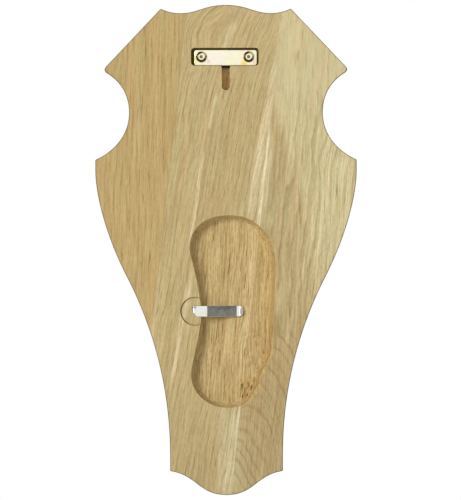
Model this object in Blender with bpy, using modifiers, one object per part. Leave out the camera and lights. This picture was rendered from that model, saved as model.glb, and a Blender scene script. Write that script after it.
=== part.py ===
"""Antler mounting plaque: a small oak trophy shield, with a hanger plate, its screws and a jaw clip behind.

The origin is where the wall's nail bears: in the plane of the shield's back, on its centre line, at the
hanger plate's lower edge. +Z is up, the back faces +Y and the front faces -Y. "Out" is away from the centre
line. The near side of the jaw pocket is the one that carries the clip, at +X, and its far side is at -X.
"""

import math

import bmesh
import bpy
import numpy as np
from mathutils import Matrix

# Gaps between pieces, in metres as every size here
SEAT_GAP = 0.0003
CUT_OVERSHOOT = 0.002

# Board and its outline, with drops measured down from the crest
BOARD_HEIGHT = 0.300
BOARD_HALF_WIDTH = 0.080
BOARD_THICKNESS = 0.018
CREST_ABOVE_NAIL = 0.0369
TROUGH_OUT = 0.0275
TROUGH_DROP = 0.0050
HORN_OUT = 0.0398
HORN_DROP = 0.0022
EAR_INSIDE_HIP = 0.0044
EAR_DROP = 0.0400
NOTCH_DEPTH = 0.0207
NOTCH_DROP = 0.0657
HIP_DROP = 0.0947
FLANK_STRAIGHT = 0.0065
FOOT_HALF_WIDTH = 0.0345
FOOT_HEIGHT = 0.0147
ANKLE_HEIGHT = 0.0205
EAR_ROUNDING = 0.0034
CORNER_ROUNDING = 0.0008

# Where the side's curve turns from round to hollow, as shares of the way out and down from the hip's flank
KNEE_SHARES = (0.421, 0.365)

# How each curve of the outline eases between its ends: the headings in degrees that it leaves and arrives at
# (0 is outwards, 270 down), and how far it keeps to each of them as shares of its chord
CREST_EASE = (0, 0, 0.483, 0.369)
HORN_EASE = (0, 26, 0.357, 0.357)
EAR_EASE = (206, 270, 0.361, 0.390)
HIP_EASE = (270, 336, 0.375, 0.371)
FLANK_EASE = (270, 242.9, 0.203, 0.435)
ANKLE_EASE = (242.9, 270, 0.499, 0.144)
FOOT_EASE = (188.6, 180, 0.443, 0.451)

# Edges of the board: eased at the back, and an ogee with a small step at the front
BACK_ARRIS = 0.0005
OGEE_HOLLOW_RADIUS = 0.004
OGEE_ROUND_RADIUS = 0.004
OGEE_STEP = 0.0015
FRONT_ARRIS = 0.0003

# Hanger plate and the recess that it lies in. The plate sits a little towards the near side.
PLATE_LENGTH = 0.0384
PLATE_HEIGHT = 0.00945
PLATE_THICKNESS = 0.0012
PLATE_OFF_CENTRE = 0.0002
PLATE_CORNER_RADIUS = 0.0014
PLATE_EDGE_BREAK = 0.00012
RECESS_GAP_NEAR_END = 0.0017
RECESS_GAP_FAR_END = 0.0011
RECESS_GAP_TOP = 0.0010
RECESS_CORNER_RADIUS = 0.0020

# Screws, with their heads sunk a little below the board's back. A head is flat in the middle, out to an angle
# in degrees on its dome.
SCREW_FROM_NEAR_END = 0.0044
SCREW_FROM_FAR_END = 0.0050
SCREW_ABOVE_PLATE_MIDDLE = 0.0005
SCREW_HEAD_DIAMETER = 0.0066
SCREW_HEAD_HEIGHT = 0.0021
SCREW_HEAD_RIM = 0.0007
SCREW_HEAD_FLAT_TO = 30
SCREW_SHANK_DIAMETER = 0.0030
SCREW_POINT_LENGTH = 0.0030
SCREW_SUNK = 0.0002
CROSS_LENGTH = 0.0030
CROSS_WIDTH = 0.0008
CROSS_DEPTH = 0.0011
WOOD_PAST_SCREWS = 0.0035

# Nail slot, which runs on behind the plate
SLOT_WIDTH = 0.0050
SLOT_BELOW_PLATE = 0.0153
SLOT_BEHIND_PLATE = 0.0060
WOOD_PAST_SLOT = 0.008

# Jaw pocket, with the wood left in front of it and the width that its coved wall takes
POCKET_LENGTH = 0.1177
POCKET_WIDTH = 0.0525
POCKET_NEAR_OUT = 0.0223
POCKET_ABOVE_FOOT = 0.0535
WOOD_PAST_POCKET = 0.008
COVE_NEAR = 0.0045
COVE_FAR = 0.0085
COVE_ENDS = 0.0035

# Jaw clip, with the two corners of its foot that are cut off beside the tongue, and the clip's shallow
# round recess across the pocket's near edge
CLIP_WIDTH = 0.0066
CLIP_THICKNESS = 0.0006
CLIP_BELOW_POCKET_TOP = 0.0587
CLIP_SUNK = 0.0004
CLIP_FOOT_ON_WOOD = 0.0053
CLIP_FOOT_OVER_POCKET = 0.0039
CLIP_SLOPE_RUN = 0.0180
CLIP_TIP_FLAT = 0.0019
CLIP_TIP_RUN = 0.0023
CLIP_TIP_RISE = 0.0009
CLIP_FLOOR_CLEARANCE = 0.0010
CLIP_BEND_RADIUS = 0.0009
CLIP_TIP_ROUNDING = 0.0030
CLIP_TONGUE_WIDTH = 0.0034
CLIP_TONGUE_LENGTH = 0.0050
CLIP_TAB = 0.0006
CLIP_UPPER_CUT_LENGTH = 0.0006
CLIP_UPPER_CUT_HEIGHT = 0.0005
CLIP_LOWER_CUT_LENGTH = 0.0024
CLIP_RECESS_RADIUS = 0.00875
CLIP_RECESS_PAST_FOOT = 0.0071

# Points on each stretch of a curve, and how close points are welded
EASE_POINTS = 48
STRAIGHT_POINTS = 5
TOP_POINTS = 17
SHOULDER_POINTS = 3
NOTCH_POINTS = 18
SIDE_POINTS = 28
BOTTOM_POINTS = 14
CORNER_POINTS = 2
OGEE_STEPS = 4
POCKET_STEPS = 6
COVE_STEPS = 6
ARC_STEPS = 6
BEND_STEPS = 3
ROUND_SEGMENTS = 20
WELD = 0.00001

# Places and depths that follow from the sizes above
CREST_Z = CREST_ABOVE_NAIL
FOOT_Z = CREST_ABOVE_NAIL - BOARD_HEIGHT
RECESS_DEPTH = SCREW_SUNK + SCREW_HEAD_HEIGHT + SEAT_GAP + PLATE_THICKNESS + SEAT_GAP
PLATE_BACK_Y = SEAT_GAP + PLATE_THICKNESS - RECESS_DEPTH
PLATE_MIDDLE_Z = PLATE_HEIGHT / 2
PLATE_NEAR_X = PLATE_OFF_CENTRE + PLATE_LENGTH / 2
PLATE_FAR_X = PLATE_OFF_CENTRE - PLATE_LENGTH / 2
SCREW_Z = PLATE_MIDDLE_Z + SCREW_ABOVE_PLATE_MIDDLE
SCREW_LENGTH = BOARD_THICKNESS - WOOD_PAST_SCREWS + PLATE_BACK_Y
HOLE_DIAMETER = SCREW_SHANK_DIAMETER + 2 * SEAT_GAP
SLOT_DEPTH = BOARD_THICKNESS - WOOD_PAST_SLOT
POCKET_DEPTH = BOARD_THICKNESS - WOOD_PAST_POCKET
POCKET_HEEL_Z = FOOT_Z + POCKET_ABOVE_FOOT
POCKET_CROWN_Z = POCKET_HEEL_Z + POCKET_LENGTH
CLIP_Z = POCKET_CROWN_Z - CLIP_BELOW_POCKET_TOP
CLIP_RECESS_DEPTH = SEAT_GAP + CLIP_THICKNESS + CLIP_SUNK

# The pocket's outline, shaped like a shoe's sole and run clockwise as seen from behind. Each anchor gives its
# shares of the pocket's width from the near side and of its length from the crown, its heading in degrees
# (0 towards the far side, 90 up), and how far the curve eases in and out of it as shares of the length.
POCKET_ANCHORS = (
    (0.465, 0.000, 0, 0.132, 0.150),
    (1.000, 0.285, -90, 0.170, 0.103),
    (0.947, 0.698, -90, 0.102, 0.042),
    (0.832, 0.818, -108, 0.038, 0.094),
    (0.446, 1.000, 180, 0.117, 0.112),
    (0.017, 0.830, 90, 0.091, 0.069),
    (0.130, 0.518, 90, 0.106, 0.153),
    (0.000, 0.175, 90, 0.038, 0.110),
)

# Colours (linear), roughness and metallic value of each piece
FINISHES = {
    "oak": ((0.54, 0.40, 0.21), 0.62, 0.0),
    "plate_zinc": ((0.83, 0.74, 0.42), 0.28, 1.0),
    "screw_zinc": ((0.78, 0.63, 0.27), 0.32, 1.0),
    "spring_steel": ((0.55, 0.57, 0.60), 0.30, 1.0),
}


def direction(degrees):
    """Unit vector at an angle from the first axis."""
    angle = math.radians(degrees)
    return np.array((math.cos(angle), math.sin(angle)))


def cubic(start, start_pull, end_pull, end, count=EASE_POINTS):
    """Points along a cubic curve between two ends and their two control points."""
    t = np.linspace(0.0, 1.0, count)[:, None]
    s = 1.0 - t
    return s**3 * start + 3 * s**2 * t * start_pull + 3 * s * t**2 * end_pull + t**3 * end


def ease(start, end, start_heading, end_heading, start_reach, end_reach):
    """A cubic that leaves and arrives at headings in degrees, with reaches as shares of the chord."""
    start = np.array(start)
    end = np.array(end)
    chord = np.linalg.norm(end - start)
    start_pull = start + start_reach * chord * direction(start_heading)
    end_pull = end - end_reach * chord * direction(end_heading)
    return cubic(start, start_pull, end_pull, end)


def straight(start, end):
    """A few points on a straight run."""
    return np.linspace(start, end, STRAIGHT_POINTS)


def chain(*pieces):
    """Joins curves end to end, and drops each shared point."""
    return np.vstack([pieces[0]] + [piece[1:] for piece in pieces[1:]])


def outline_runs():
    """The board's half outline as (out, up) runs between its corners, from the crest to the foot's middle."""
    crest = (0.0, CREST_Z)
    trough = (TROUGH_OUT, CREST_Z - TROUGH_DROP)
    horn = (HORN_OUT, CREST_Z - HORN_DROP)
    ear = (BOARD_HALF_WIDTH - EAR_INSIDE_HIP, CREST_Z - EAR_DROP)
    notch = (BOARD_HALF_WIDTH - NOTCH_DEPTH, CREST_Z - NOTCH_DROP)
    hip = (BOARD_HALF_WIDTH, CREST_Z - HIP_DROP)
    flank = (BOARD_HALF_WIDTH, CREST_Z - HIP_DROP - FLANK_STRAIGHT)
    ankle = (FOOT_HALF_WIDTH, FOOT_Z + ANKLE_HEIGHT)
    knee = tuple(start + share * (end - start) for start, end, share in zip(flank, ankle, KNEE_SHARES))
    heel = (FOOT_HALF_WIDTH, FOOT_Z + FOOT_HEIGHT)
    toe = (0.0, FOOT_Z)
    top = chain(ease(crest, trough, *CREST_EASE), ease(trough, horn, *HORN_EASE))
    shoulder = straight(horn, ear)
    hollow = chain(ease(ear, notch, *EAR_EASE), ease(notch, hip, *HIP_EASE))
    waist = chain(ease(flank, knee, *FLANK_EASE), ease(knee, ankle, *ANKLE_EASE))
    side = chain(straight(hip, flank), waist, straight(ankle, heel))
    bottom = ease(heel, toe, *FOOT_EASE)
    return [top, shoulder, hollow, side, bottom]


def offset_curve(points, inset):
    """Moves a run of the outline towards the inside of the board, square to itself."""
    tangents = np.gradient(points, axis=0)
    tangents /= np.linalg.norm(tangents, axis=1)[:, None]
    inward = np.column_stack((tangents[:, 1], -tangents[:, 0]))
    return points + inset * inward


def lengthened(points, reach, at_start, at_end):
    """Adds a short straight stretch at either end of a run, so that neighbours always cross."""
    first = points[0] + (points[0] - points[1]) / np.linalg.norm(points[0] - points[1]) * reach
    last = points[-1] + (points[-1] - points[-2]) / np.linalg.norm(points[-1] - points[-2]) * reach
    parts = [first[None]] * at_start + [points] + [last[None]] * at_end
    return np.vstack(parts)


def crossing(first, second):
    """Where two runs cross, as a position (segment number and fraction) along each of them."""
    start_a = first[:-1, None]
    start_b = second[None, :-1]
    step_a = np.diff(first, axis=0)[:, None]
    step_b = np.diff(second, axis=0)[None]
    between = start_b - start_a
    cross = step_a[..., 0] * step_b[..., 1] - step_a[..., 1] * step_b[..., 0]
    cross = np.where(np.abs(cross) < 1e-18, 1e-18, cross)
    along_a = (between[..., 0] * step_b[..., 1] - between[..., 1] * step_b[..., 0]) / cross
    along_b = (between[..., 0] * step_a[..., 1] - between[..., 1] * step_a[..., 0]) / cross
    hits = np.argwhere((along_a >= 0) & (along_a <= 1) & (along_b >= 0) & (along_b <= 1))
    i, j = hits[-1]
    return i + along_a[i, j], j + along_b[i, j]


def stretch(points, start, end):
    """The part of a run between two positions along it."""
    index = np.arange(len(points))
    inner = [k for k in index if start < k < end]
    positions = [start] + inner + [end]
    return np.column_stack([np.interp(positions, index, points[:, axis]) for axis in range(2)])


def resampled(points, count, trim_start=0.0, trim_end=0.0):
    """Evenly spaced points on a run, after a length is left off at either end."""
    lengths = np.concatenate(([0.0], np.cumsum(np.linalg.norm(np.diff(points, axis=0), axis=1))))
    wanted = np.linspace(trim_start, lengths[-1] - trim_end, count)
    return np.column_stack([np.interp(wanted, lengths, points[:, axis]) for axis in range(2)])


def board_ring(inset):
    """The half outline at an inset from the board's edge, with the same number of points at every inset."""
    runs = outline_runs()
    last = len(runs) - 1
    reach = 0.001
    moved = [offset_curve(lengthened(run, reach, k > 0, k < last), inset) for k, run in enumerate(runs)]
    starts = [0.0] * len(runs)
    ends = [float(len(run) - 1) for run in moved]
    for k in range(last):
        ends[k], starts[k + 1] = crossing(moved[k], moved[k + 1])
    counts = (TOP_POINTS, SHOULDER_POINTS, NOTCH_POINTS, SIDE_POINTS, BOTTOM_POINTS)
    rounding = (0.0, CORNER_ROUNDING, EAR_ROUNDING, CORNER_ROUNDING, CORNER_ROUNDING, 0.0)
    ring = []
    for k, run in enumerate(moved):
        trimmed = stretch(run, starts[k], ends[k])
        piece = resampled(trimmed, counts[k], rounding[k], rounding[k + 1])
        if ring:
            corner = trimmed[0]
            before = ring[-1][-1]
            for t in np.linspace(0.0, 1.0, CORNER_POINTS + 2)[1:-1]:
                ring.append(((1 - t) ** 2 * before + 2 * (1 - t) * t * corner + t**2 * piece[0])[None])
        ring.append(piece)
    ring = np.vstack(ring)
    ring[0, 0] = ring[-1, 0] = 0.0
    return ring


def edge_profile():
    """The board's edge as (inset, depth below the back) pairs, from the back face round to the front face."""
    profile = [(BACK_ARRIS, 0.0), (0.0, BACK_ARRIS)]
    ogee_width = OGEE_HOLLOW_RADIUS + OGEE_ROUND_RADIUS
    ogee_middle = BOARD_THICKNESS - OGEE_STEP - OGEE_ROUND_RADIUS
    for k in range(OGEE_STEPS + 1):
        angle = math.pi / 2 * k / OGEE_STEPS
        inset = OGEE_HOLLOW_RADIUS * math.sin(angle)
        profile.append((inset, ogee_middle - OGEE_HOLLOW_RADIUS * math.cos(angle)))
    for k in range(1, OGEE_STEPS + 1):
        angle = math.pi / 2 * k / OGEE_STEPS
        inset = ogee_width - OGEE_ROUND_RADIUS * math.cos(angle)
        profile.append((inset, ogee_middle + OGEE_ROUND_RADIUS * math.sin(angle)))
    profile.append((ogee_width, BOARD_THICKNESS - FRONT_ARRIS))
    profile.append((ogee_width + FRONT_ARRIS, BOARD_THICKNESS))
    return profile


def pocket_outline():
    """The pocket's outline at the board's back as (x, z) points."""
    places = []
    for across, down, heading, reach_in, reach_out in POCKET_ANCHORS:
        place = np.array((POCKET_NEAR_OUT - across * POCKET_WIDTH, POCKET_CROWN_Z - down * POCKET_LENGTH))
        way = direction(heading) * (-1.0, 1.0) * POCKET_LENGTH
        places.append((place, reach_in * way, reach_out * way))
    points = []
    for k, (place, _, pull_out) in enumerate(places):
        following, pull_in, _ = places[(k + 1) % len(places)]
        points.append(cubic(place, place + pull_out, following - pull_in, following, POCKET_STEPS + 1)[:-1])
    return np.vstack(points)


def pocket_near_edge(z):
    """How far out the pocket's near edge stands at a height."""
    points = pocket_outline()
    following = np.roll(points, -1, axis=0)
    rising = following[:, 1] > points[:, 1]
    spans = rising & (points[:, 1] <= z) & (following[:, 1] > z)
    k = int(np.flatnonzero(spans)[0])
    share = (z - points[k, 1]) / (following[k, 1] - points[k, 1])
    return points[k, 0] + share * (following[k, 0] - points[k, 0])


def pocket_rings():
    """The pocket's cutter as rings of points, from above the back down its coved wall to the floor."""
    points = pocket_outline()
    ahead = np.roll(points, -1, axis=0) - np.roll(points, 1, axis=0)
    ahead /= np.linalg.norm(ahead, axis=1)[:, None]
    outward = np.column_stack((-ahead[:, 1], ahead[:, 0]))
    cove = COVE_ENDS * outward[:, 1] ** 2
    cove += np.where(outward[:, 0] > 0, COVE_NEAR, COVE_FAR) * outward[:, 0] ** 2
    rings = [[(x, CUT_OVERSHOOT, z) for x, z in points]]
    for k in range(COVE_STEPS + 1):
        angle = math.pi / 2 * k / COVE_STEPS
        inner = points - outward * (cove * (1 - math.cos(angle)))[:, None]
        rings.append([(x, -POCKET_DEPTH * math.sin(angle), z) for x, z in inner])
    return rings


def arc(centre, radius, start, sweep):
    """Points on an arc from a start angle through a sweep, both in degrees."""
    steps = ARC_STEPS * max(1, round(abs(sweep) / 90))
    return [np.array(centre) + radius * direction(start + sweep * k / steps) for k in range(steps + 1)]


def rectangle(x_low, x_high, z_low, z_high):
    """Corners of a rectangle as (x, z) points."""
    return [(x_low, z_low), (x_high, z_low), (x_high, z_high), (x_low, z_high)]


def rounded_rectangle(x_low, x_high, z_low, z_high, radius):
    """Corners of a rectangle rounded with arcs, as (x, z) points."""
    points = arc((x_high - radius, z_high - radius), radius, 0, 90)
    points += arc((x_low + radius, z_high - radius), radius, 90, 90)
    points += arc((x_low + radius, z_low + radius), radius, 180, 90)
    points += arc((x_high - radius, z_low + radius), radius, 270, 90)
    return points


def rounded_path(points, radius):
    """A bent path: straight runs with an arc of about the given radius at each inner corner."""
    path = [np.array(points[0])]
    for before, corner, after in zip(points, points[1:], points[2:]):
        before, corner, after = (np.array(p) for p in (before, corner, after))
        back = (before - corner) / np.linalg.norm(before - corner)
        onward = (after - corner) / np.linalg.norm(after - corner)
        half_angle = math.acos(max(-1.0, min(1.0, float(back @ onward)))) / 2
        reach = radius / math.tan(half_angle)
        start = corner + back * reach
        end = corner + onward * reach
        for k in range(BEND_STEPS + 1):
            t = k / BEND_STEPS
            path.append((1 - t) ** 2 * start + 2 * (1 - t) * t * corner + t**2 * end)
    path.append(np.array(points[-1]))
    return path


def clear_scene():
    """Takes every object out of the scene."""
    for old in list(bpy.data.objects):
        bpy.data.objects.remove(old, do_unlink=True)


def new_collection(name):
    """A collection linked to the scene."""
    collection = bpy.data.collections.new(name)
    bpy.context.scene.collection.children.link(collection)
    return collection


def new_material(name):
    """A plain material with a piece's colour, roughness and metallic value."""
    color, roughness, metallic = FINISHES[name]
    material = bpy.data.materials.new(name)
    material.use_nodes = True
    shader = material.node_tree.nodes["Principled BSDF"]
    shader.inputs["Base Color"].default_value = (*color, 1.0)
    shader.inputs["Roughness"].default_value = roughness
    shader.inputs["Metallic"].default_value = metallic
    material.diffuse_color = (*color, 1.0)
    return material


def add_object(name, mesh, collection):
    """An object for a mesh, in a collection."""
    obj = bpy.data.objects.new(name, mesh)
    collection.objects.link(obj)
    return obj


def as_cutter(obj):
    """Marks an object as one that only cuts others."""
    obj.hide_render = True
    obj.display_type = "WIRE"
    return obj


def boolean(target, cutter, operation="DIFFERENCE"):
    """Cuts a target with a cutter, or keeps only what they share."""
    modifier = target.modifiers.new(cutter.name, "BOOLEAN")
    modifier.operation = operation
    modifier.solver = "EXACT"
    modifier.object = cutter


def shade_round(obj, degrees=30):
    """Smooth shading that keeps the sharp edges."""
    obj.data.shade_smooth()
    obj.data.set_sharp_from_angle(angle=math.radians(degrees))


def loft(name, rings, closed, collection):
    """A skin over rings of points, with flat first and last faces. Open rings end on a mirror plane."""
    mesh = bpy.data.meshes.new(name)
    bm = bmesh.new()
    rows = [[bm.verts.new(point) for point in ring] for ring in rings]
    for row, following in zip(rows, rows[1:]):
        for k in range(len(row) - (not closed)):
            after = (k + 1) % len(row)
            bm.faces.new((row[k], following[k], following[after], row[after]))
    bm.faces.new(rows[0])
    bm.faces.new(reversed(rows[-1]))
    bmesh.ops.recalc_face_normals(bm, faces=bm.faces)
    bm.to_mesh(mesh)
    bm.free()
    return add_object(name, mesh, collection)


def curve_as_mesh(curve, name, matrix, collection):
    """Turns a curve into a mesh object with its caps welded on, placed by a matrix."""
    holder = bpy.data.objects.new(name + "_curve", curve)
    collection.objects.link(holder)
    holder.matrix_world = matrix
    bpy.context.view_layer.update()
    evaluated = holder.evaluated_get(bpy.context.evaluated_depsgraph_get())
    mesh = bpy.data.meshes.new_from_object(evaluated)
    bm = bmesh.new()
    bm.from_mesh(mesh)
    bmesh.ops.remove_doubles(bm, verts=bm.verts, dist=WELD)
    bmesh.ops.recalc_face_normals(bm, faces=bm.faces)
    bm.to_mesh(mesh)
    bm.free()
    obj = add_object(name, mesh, collection)
    obj.matrix_world = holder.matrix_world.copy()
    bpy.data.objects.remove(holder, do_unlink=True)
    return obj


def flat_curve(name, points, cyclic):
    """A 2D curve through (first axis, second axis) points."""
    curve = bpy.data.curves.new(name, "CURVE")
    curve.dimensions = "2D"
    spline = curve.splines.new("POLY")
    spline.points.add(len(points) - 1)
    for place, (first, second) in zip(spline.points, points):
        place.co = (first, second, 0.0, 1.0)
    spline.use_cyclic_u = cyclic
    return curve


def flat_solid(name, points, y_low, y_high, collection):
    """A flat outline of (x, z) points with a thickness from y_low to y_high."""
    curve = flat_curve(name, points, cyclic=True)
    curve.fill_mode = "BOTH"
    curve.extrude = (y_high - y_low) / 2
    upright = Matrix.Translation((0.0, (y_low + y_high) / 2, 0.0)) @ Matrix.Rotation(math.pi / 2, 4, "X")
    return curve_as_mesh(curve, name, upright, collection)


def rod(name, diameter, x, z, y_low, y_high, collection):
    """A cylinder square to the board."""
    mesh = bpy.data.meshes.new(name)
    bm = bmesh.new()
    radius = diameter / 2
    bmesh.ops.create_cone(
        bm, cap_ends=True, segments=ROUND_SEGMENTS, radius1=radius, radius2=radius, depth=y_high - y_low
    )
    bm.to_mesh(mesh)
    bm.free()
    obj = add_object(name, mesh, collection)
    obj.location = (x, (y_low + y_high) / 2, z)
    obj.rotation_euler = (math.pi / 2, 0.0, 0.0)
    return obj


def screw_places():
    """Where the two screws stand: the left and the right one, as seen from behind, with their x."""
    left = PLATE_NEAR_X - SCREW_FROM_NEAR_END
    right = PLATE_FAR_X + SCREW_FROM_FAR_END
    return (("hanger_screw_left", left), ("hanger_screw_right", right))


def cut_recess(board, cutters):
    """The recess that the hanger plate lies in, and the pilot holes of its screws."""
    x_high = PLATE_NEAR_X + RECESS_GAP_NEAR_END
    x_low = PLATE_FAR_X - RECESS_GAP_FAR_END
    z_high = PLATE_HEIGHT + RECESS_GAP_TOP
    corners = rounded_rectangle(x_low, x_high, -SEAT_GAP, z_high, RECESS_CORNER_RADIUS)
    recess = flat_solid("hanger_recess_cutter", corners, -RECESS_DEPTH, CUT_OVERSHOOT, cutters)
    boolean(board, as_cutter(recess))
    floor = WOOD_PAST_SCREWS - BOARD_THICKNESS
    for name, x in screw_places():
        pilot = rod(name + "_pilot_cutter", HOLE_DIAMETER, x, SCREW_Z, floor, CUT_OVERSHOOT, cutters)
        boolean(board, as_cutter(pilot))


def cut_slot(board, cutters):
    """The nail's slot, with a round lower and upper end."""
    half = SLOT_WIDTH / 2
    points = arc((0.0, SLOT_BEHIND_PLATE - half), half, 0, 180)
    points += arc((0.0, half - SLOT_BELOW_PLATE), half, 180, 180)
    slot = flat_solid("nail_slot_cutter", points, -SLOT_DEPTH, CUT_OVERSHOOT, cutters)
    boolean(board, as_cutter(slot))


def cut_pocket(board, cutters):
    """The jaw pocket, and the clip's shallow recess and tongue slit at its near edge."""
    pocket = loft("jaw_pocket_cutter", pocket_rings(), True, cutters)
    boolean(board, as_cutter(pocket))
    foot_end = pocket_near_edge(CLIP_Z) + CLIP_FOOT_ON_WOOD
    centre = foot_end + CLIP_RECESS_PAST_FOOT - CLIP_RECESS_RADIUS
    points = arc((centre, CLIP_Z), CLIP_RECESS_RADIUS, 0, 360)[:-1]
    recess = flat_solid("clip_recess_cutter", points, -CLIP_RECESS_DEPTH, CUT_OVERSHOOT, cutters)
    boolean(board, as_cutter(recess))
    slit_depth = CLIP_RECESS_DEPTH + CLIP_TONGUE_LENGTH + SEAT_GAP
    tongue_low, tongue_high = clip_tongue_edges()
    x_low = foot_end - max(CLIP_TAB, CLIP_THICKNESS + 2 * SEAT_GAP)
    slit_corners = rectangle(x_low, foot_end + SEAT_GAP, tongue_low - SEAT_GAP, tongue_high + SEAT_GAP)
    slit = flat_solid("clip_slit_cutter", slit_corners, -slit_depth, CUT_OVERSHOOT, cutters)
    boolean(board, as_cutter(slit))


def make_board(collection, cutters):
    """The oak shield: one half lofted from its edge profile, mirrored, then cut from the back."""
    rings = [[(x, -depth, z) for x, z in board_ring(inset)] for inset, depth in edge_profile()]
    board = loft("shield_board", rings, False, collection)
    mirror = board.modifiers.new("halves", "MIRROR")
    mirror.merge_threshold = WELD
    cut_recess(board, cutters)
    cut_slot(board, cutters)
    cut_pocket(board, cutters)
    shade_round(board)
    return board


def make_plate(collection, cutters):
    """The hanger plate with its two screw holes."""
    corners = rounded_rectangle(PLATE_FAR_X, PLATE_NEAR_X, 0.0, PLATE_HEIGHT, PLATE_CORNER_RADIUS)
    plate = flat_solid("hanger_plate", corners, PLATE_BACK_Y - PLATE_THICKNESS, PLATE_BACK_Y, collection)
    edge = plate.modifiers.new("edge break", "BEVEL")
    edge.width = PLATE_EDGE_BREAK
    edge.segments = 1
    edge.limit_method = "ANGLE"
    y_low = PLATE_BACK_Y - PLATE_THICKNESS - CUT_OVERSHOOT
    y_high = PLATE_BACK_Y + CUT_OVERSHOOT
    for name, x in screw_places():
        hole = rod(name + "_hole_cutter", HOLE_DIAMETER, x, SCREW_Z, y_low, y_high, cutters)
        boolean(plate, as_cutter(hole))
    shade_round(plate)
    return plate


def screw_profile():
    """Half of a pan head screw's section, down its outer side from the middle of the head's top."""
    head_radius = SCREW_HEAD_DIAMETER / 2
    shank_radius = SCREW_SHANK_DIAMETER / 2
    points = [(0.0, SCREW_HEAD_HEIGHT)]
    flat_to = math.radians(SCREW_HEAD_FLAT_TO)
    dome = (SCREW_HEAD_HEIGHT - SCREW_HEAD_RIM) / math.cos(flat_to)
    for angle in np.linspace(flat_to, math.pi / 2, ARC_STEPS + 1):
        points.append((head_radius * math.sin(angle), SCREW_HEAD_RIM + dome * math.cos(angle)))
    points += [(head_radius, 0.0), (shank_radius, 0.0)]
    points += [(shank_radius, SCREW_POINT_LENGTH - SCREW_LENGTH), (0.0, -SCREW_LENGTH)]
    return points


def make_screws(collection, cutters):
    """Two pan head screws with a cross recess, turned about their own axis."""
    screws = []
    for name, x in screw_places():
        mesh = bpy.data.meshes.new(name)
        bm = bmesh.new()
        verts = [bm.verts.new((r, 0.0, z)) for r, z in screw_profile()]
        for first, second in zip(verts, verts[1:]):
            bm.edges.new((first, second))
        bm.to_mesh(mesh)
        bm.free()
        screw = add_object(name, mesh, collection)
        screw.location = (x, PLATE_BACK_Y + SEAT_GAP, SCREW_Z)
        screw.rotation_euler = (-math.pi / 2, 0.0, 0.0)
        turn = screw.modifiers.new("turned", "SCREW")
        turn.axis = "Z"
        turn.steps = ROUND_SEGMENTS
        turn.render_steps = ROUND_SEGMENTS
        turn.use_merge_vertices = True
        turn.merge_threshold = WELD
        turn.use_smooth_shade = True
        top = PLATE_BACK_Y + SEAT_GAP + SCREW_HEAD_HEIGHT
        for arm, (width, height) in enumerate(((CROSS_LENGTH, CROSS_WIDTH), (CROSS_WIDTH, CROSS_LENGTH))):
            corners = rectangle(x - width / 2, x + width / 2, SCREW_Z - height / 2, SCREW_Z + height / 2)
            cutter_name = f"{name}_cross_{arm + 1}_cutter"
            cross = flat_solid(cutter_name, corners, top - CROSS_DEPTH, top + CUT_OVERSHOOT, cutters)
            boolean(screw, as_cutter(cross))
        screws.append(screw)
    return screws


def clip_stations():
    """Where the clip turns, as x from its foot's end to its tip: foot, slope, flat and tip."""
    edge = pocket_near_edge(CLIP_Z)
    foot_x = edge + CLIP_FOOT_ON_WOOD
    slope_x = edge - CLIP_FOOT_OVER_POCKET
    low_x = slope_x - CLIP_SLOPE_RUN
    flat_x = low_x - CLIP_TIP_FLAT
    return foot_x, slope_x, low_x, flat_x, flat_x - CLIP_TIP_RUN


def clip_tongue_edges():
    """The lower and the upper edge of the clip's tongue."""
    tongue_high = CLIP_Z + CLIP_WIDTH / 2 - CLIP_UPPER_CUT_HEIGHT
    return tongue_high - CLIP_TONGUE_WIDTH, tongue_high


def clip_path():
    """The clip's middle line as (x, y) points: tongue, foot, slope, flat and curled-up tip."""
    foot_x, slope_x, low_x, flat_x, tip_x = clip_stations()
    foot_y = -CLIP_SUNK - CLIP_THICKNESS / 2
    low_y = CLIP_FLOOR_CLEARANCE + CLIP_THICKNESS / 2 - POCKET_DEPTH
    tongue_x = foot_x - CLIP_THICKNESS / 2
    tongue_y = -CLIP_RECESS_DEPTH - CLIP_TONGUE_LENGTH
    corners = [(tongue_x, tongue_y), (tongue_x, foot_y), (slope_x, foot_y)]
    corners += [(low_x, low_y), (flat_x, low_y), (tip_x, low_y + CLIP_TIP_RISE)]
    return rounded_path(corners, CLIP_BEND_RADIUS)


def clip_blank():
    """The clip's shape as seen from behind: both corners of its foot cut off slantwise, and a rounded tip."""
    foot_x, _, _, _, tip_x = clip_stations()
    tongue_low, tongue_high = clip_tongue_edges()
    side = CLIP_WIDTH / 2
    beyond = side + CUT_OVERSHOOT
    tab_x = foot_x - CLIP_TAB
    upper_x = tab_x - CLIP_UPPER_CUT_LENGTH
    lower_x = tab_x - CLIP_LOWER_CUT_LENGTH
    tip_centre_x = tip_x + CLIP_TIP_ROUNDING
    points = [(foot_x + CUT_OVERSHOOT, tongue_high), (tab_x, tongue_high)]
    points += [(upper_x, CLIP_Z + side), (upper_x, CLIP_Z + beyond), (tip_centre_x, CLIP_Z + beyond)]
    points += arc((tip_centre_x, CLIP_Z + side - CLIP_TIP_ROUNDING), CLIP_TIP_ROUNDING, 90, 90)
    points += arc((tip_centre_x, CLIP_Z - side + CLIP_TIP_ROUNDING), CLIP_TIP_ROUNDING, 180, 90)
    points += [(tip_centre_x, CLIP_Z - beyond), (lower_x, CLIP_Z - beyond), (lower_x, CLIP_Z - side)]
    points += [(tab_x, tongue_low), (foot_x + CUT_OVERSHOOT, tongue_low)]
    return points


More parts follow.
